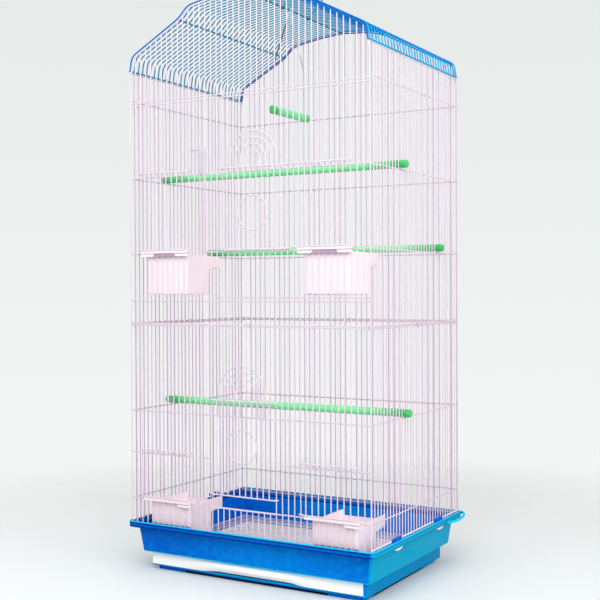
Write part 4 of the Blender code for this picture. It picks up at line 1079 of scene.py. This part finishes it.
def makeBaseClip(side, spot, bay):
    # Drawn on the wall's plane: a wedge over the foot wire, a leg through the rim and a toe under it.
    inner, outer = clip["leg"]
    back, length = -clip["back"], clip["length"]
    over, top = base["rimTop"] + clearance, base["rimTop"] + 2 * frameWire
    under = base["rimTop"] - base["rimHeight"] - clearance
    near, foot = -frameWire - clearance, under - clip["legEnd"]
    bm = bmesh.new()
    slab(bm, [(near, over), (near, top + clip["wall"]), (back, over + clip["height"] * 0.9), (back, over)],
         sideOn, length)
    slab(bm, [(-inner, top), (-outer, top), (-outer, foot), (-inner, foot)], sideOn, length - 2 * clearance)
    half = clip["tooth"] / 2
    for step in range(clip["teeth"]):
        x = (step - 1) * cage["depth"] / cage["sideGaps"]
        block(bm, (x - half, -clip["toothBack"], levels["foot"] + clip["toothFoot"]),
              (x + half, clip["toothFront"], top))
    # the toe is a crescent, level on top
    angles = [pi * step / 16 for step in range(17)]
    bow = [(length / 2 * cos(angle), under - clip["toeDrop"] * sin(angle)) for angle in angles]
    toe = bmesh.new()
    slab(toe, bow, frontOn(-(clip["toe"] + inner) / 2), clip["toe"] - inner)
    place = standOn(side) @ Matrix.Translation((bayY(bay) * (1 if side == "right" else -1), 0, 0))
    where = side + "_" + spot
    addPiece(pieceName("clip_toe_" + where), toe, toePlastic, place=place)
    addPiece(pieceName("clip_" + where), bm, clipPlastic, ["base_clip_" + where],
             place=place, edge=clip["edge"])


seam = {"length": 0.0048, "band": 0.0008, "edge": 0.0003, "sideX": bayY(15),
        "frontX": uprightX(21) + uprightX(1) / 2 + halfWidth / 2,
        "cornerX": halfWidth - (uprightX(1) + halfWidth) / 2}


def makeSeamClip(spot, side, x):
    # A band round the two level wires where the tiers meet.
    band, half = seam["band"], seam["length"] / 2
    inside = frameWire + clearance
    low, high = levels["seam"] - inside, levels["upperFoot"] + inside
    bm = cutFrom(box((-half, -inside - band, low - band), (half, inside + band, high + band)),
                 box((-2 * half, -inside, low), (2 * half, inside, high)))
    name = "seam_clip_" + spot
    addPiece(pieceName(name), bm, seamMetal, [name],
             place=standOn(side) @ Matrix.Translation((x, 0, 0)), edge=seam["edge"])


makeBase()
makeTray()
makeGrille()
for side in ("left", "right"):
    for spot, bay in zip(("front", "rear"), clip["bays"]):
        makeBaseClip(side, spot, bay)
for spot, side, x in (("front_middle", "front", seam["frontX"]), ("back_middle", "back", -seam["frontX"]),
                      ("left_middle", "left", seam["sideX"]), ("right_middle", "right", seam["sideX"]),
                      ("front_left", "front", -seam["cornerX"]), ("front_right", "front", seam["cornerX"]),
                      ("back_left", "back", seam["cornerX"]), ("back_right", "back", -seam["cornerX"])):
    makeSeamClip(spot, side, x)
print("base, tray, grille and clips made")


floorLook = {"color": (0.68, 0.70, 0.70), "glow": (0.055, 0.055, 0.05), "roughness": 0.9, "size": 6.0,
             "drop": 0.0001, "fade": (0.55, 1.35)}


def makeStage():
    bm = bmesh.new()
    bmesh.ops.create_circle(bm, cap_ends=True, segments=64, radius=floorLook["size"],
                            matrix=Matrix.Translation((0, 0, -floorLook["drop"])))
    mesh = bpy.data.meshes.new("floor")
    bm.to_mesh(mesh)
    bm.free()
    look = Finish("floorPaper", floorLook["color"], floorLook["roughness"], {"Emission Strength": 1.0})
    seen = look.node("ShaderNodeLightPath", {}, {}, "Is Camera Ray")
    look.set("Emission Color", look.mixColors(seen, (0, 0, 0), floorLook["glow"]))
    distance = look.node("ShaderNodeVectorMath", {"operation": "LENGTH"}, {0: look.place()}, "Value")
    look.set("Alpha", 1 - look.ramp(distance, *floorLook["fade"]))
    mesh.materials.append(look.material)
    show("floor", mesh)


# soft boxes: place, the height they face over the middle, size and power
lamps = {"frontBox": {"place": (0.45, -1.8, 1.9), "aim": 0.5, "size": 1.7, "power": 37},
         "leftBox": {"place": (-2.2, -1.2, 1.6), "aim": 0.45, "size": 1.6, "power": 18},
         "rightBox": {"place": (2.4, -1.0, 1.2), "aim": 0.45, "size": 2.6, "power": 58},
         "topBox": {"place": (0.0, 0.3, 2.8), "aim": 0.5, "size": 2.0, "power": 24}}
backdrop = {"low": (0.93, 0.95, 0.945), "high": (0.79, 0.825, 0.82), "reach": 0.28, "ambient": 0.50}


def makeLamps():
    for name, lamp in lamps.items():
        data = bpy.data.lights.new(name, "AREA")
        data.size = lamp["size"]
        data.energy = lamp["power"]
        aim = Vector((0, 0, lamp["aim"])) - Vector(lamp["place"])
        turn = aim.to_track_quat("-Z", "Y").to_matrix().to_4x4()
        show(name, data).matrix_world = Matrix.Translation(lamp["place"]) @ turn


def makeWorld():
    # Paper that shades from low to high, seen at full strength and dimmer as a light.
    world = bpy.data.worlds.new("studio")
    bpy.context.scene.world = world
    world.use_nodes = True
    studio = Nodes(world.node_tree)
    shine = studio.tree.nodes["Background"].inputs
    height = studio.split(studio.node("ShaderNodeTexCoord", {}, {}, "Generated"))[2]
    share = studio.ramp(height, -backdrop["reach"], backdrop["reach"], "LINEAR")
    plug(studio.tree, shine["Color"], studio.mixColors(share, backdrop["low"], backdrop["high"]))
    seen, passed = (studio.node("ShaderNodeLightPath", {}, {}, key)
                    for key in ("Is Camera Ray", "Is Transmission Ray"))
    shown = maths(studio.tree, "MAXIMUM", seen, passed)
    plug(studio.tree, shine["Strength"], shown * (1 - backdrop["ambient"]) + backdrop["ambient"])


makeStage()
makeLamps()
makeWorld()
bpy.context.scene.view_settings.view_transform = "Standard"
print("stage and lamps made")
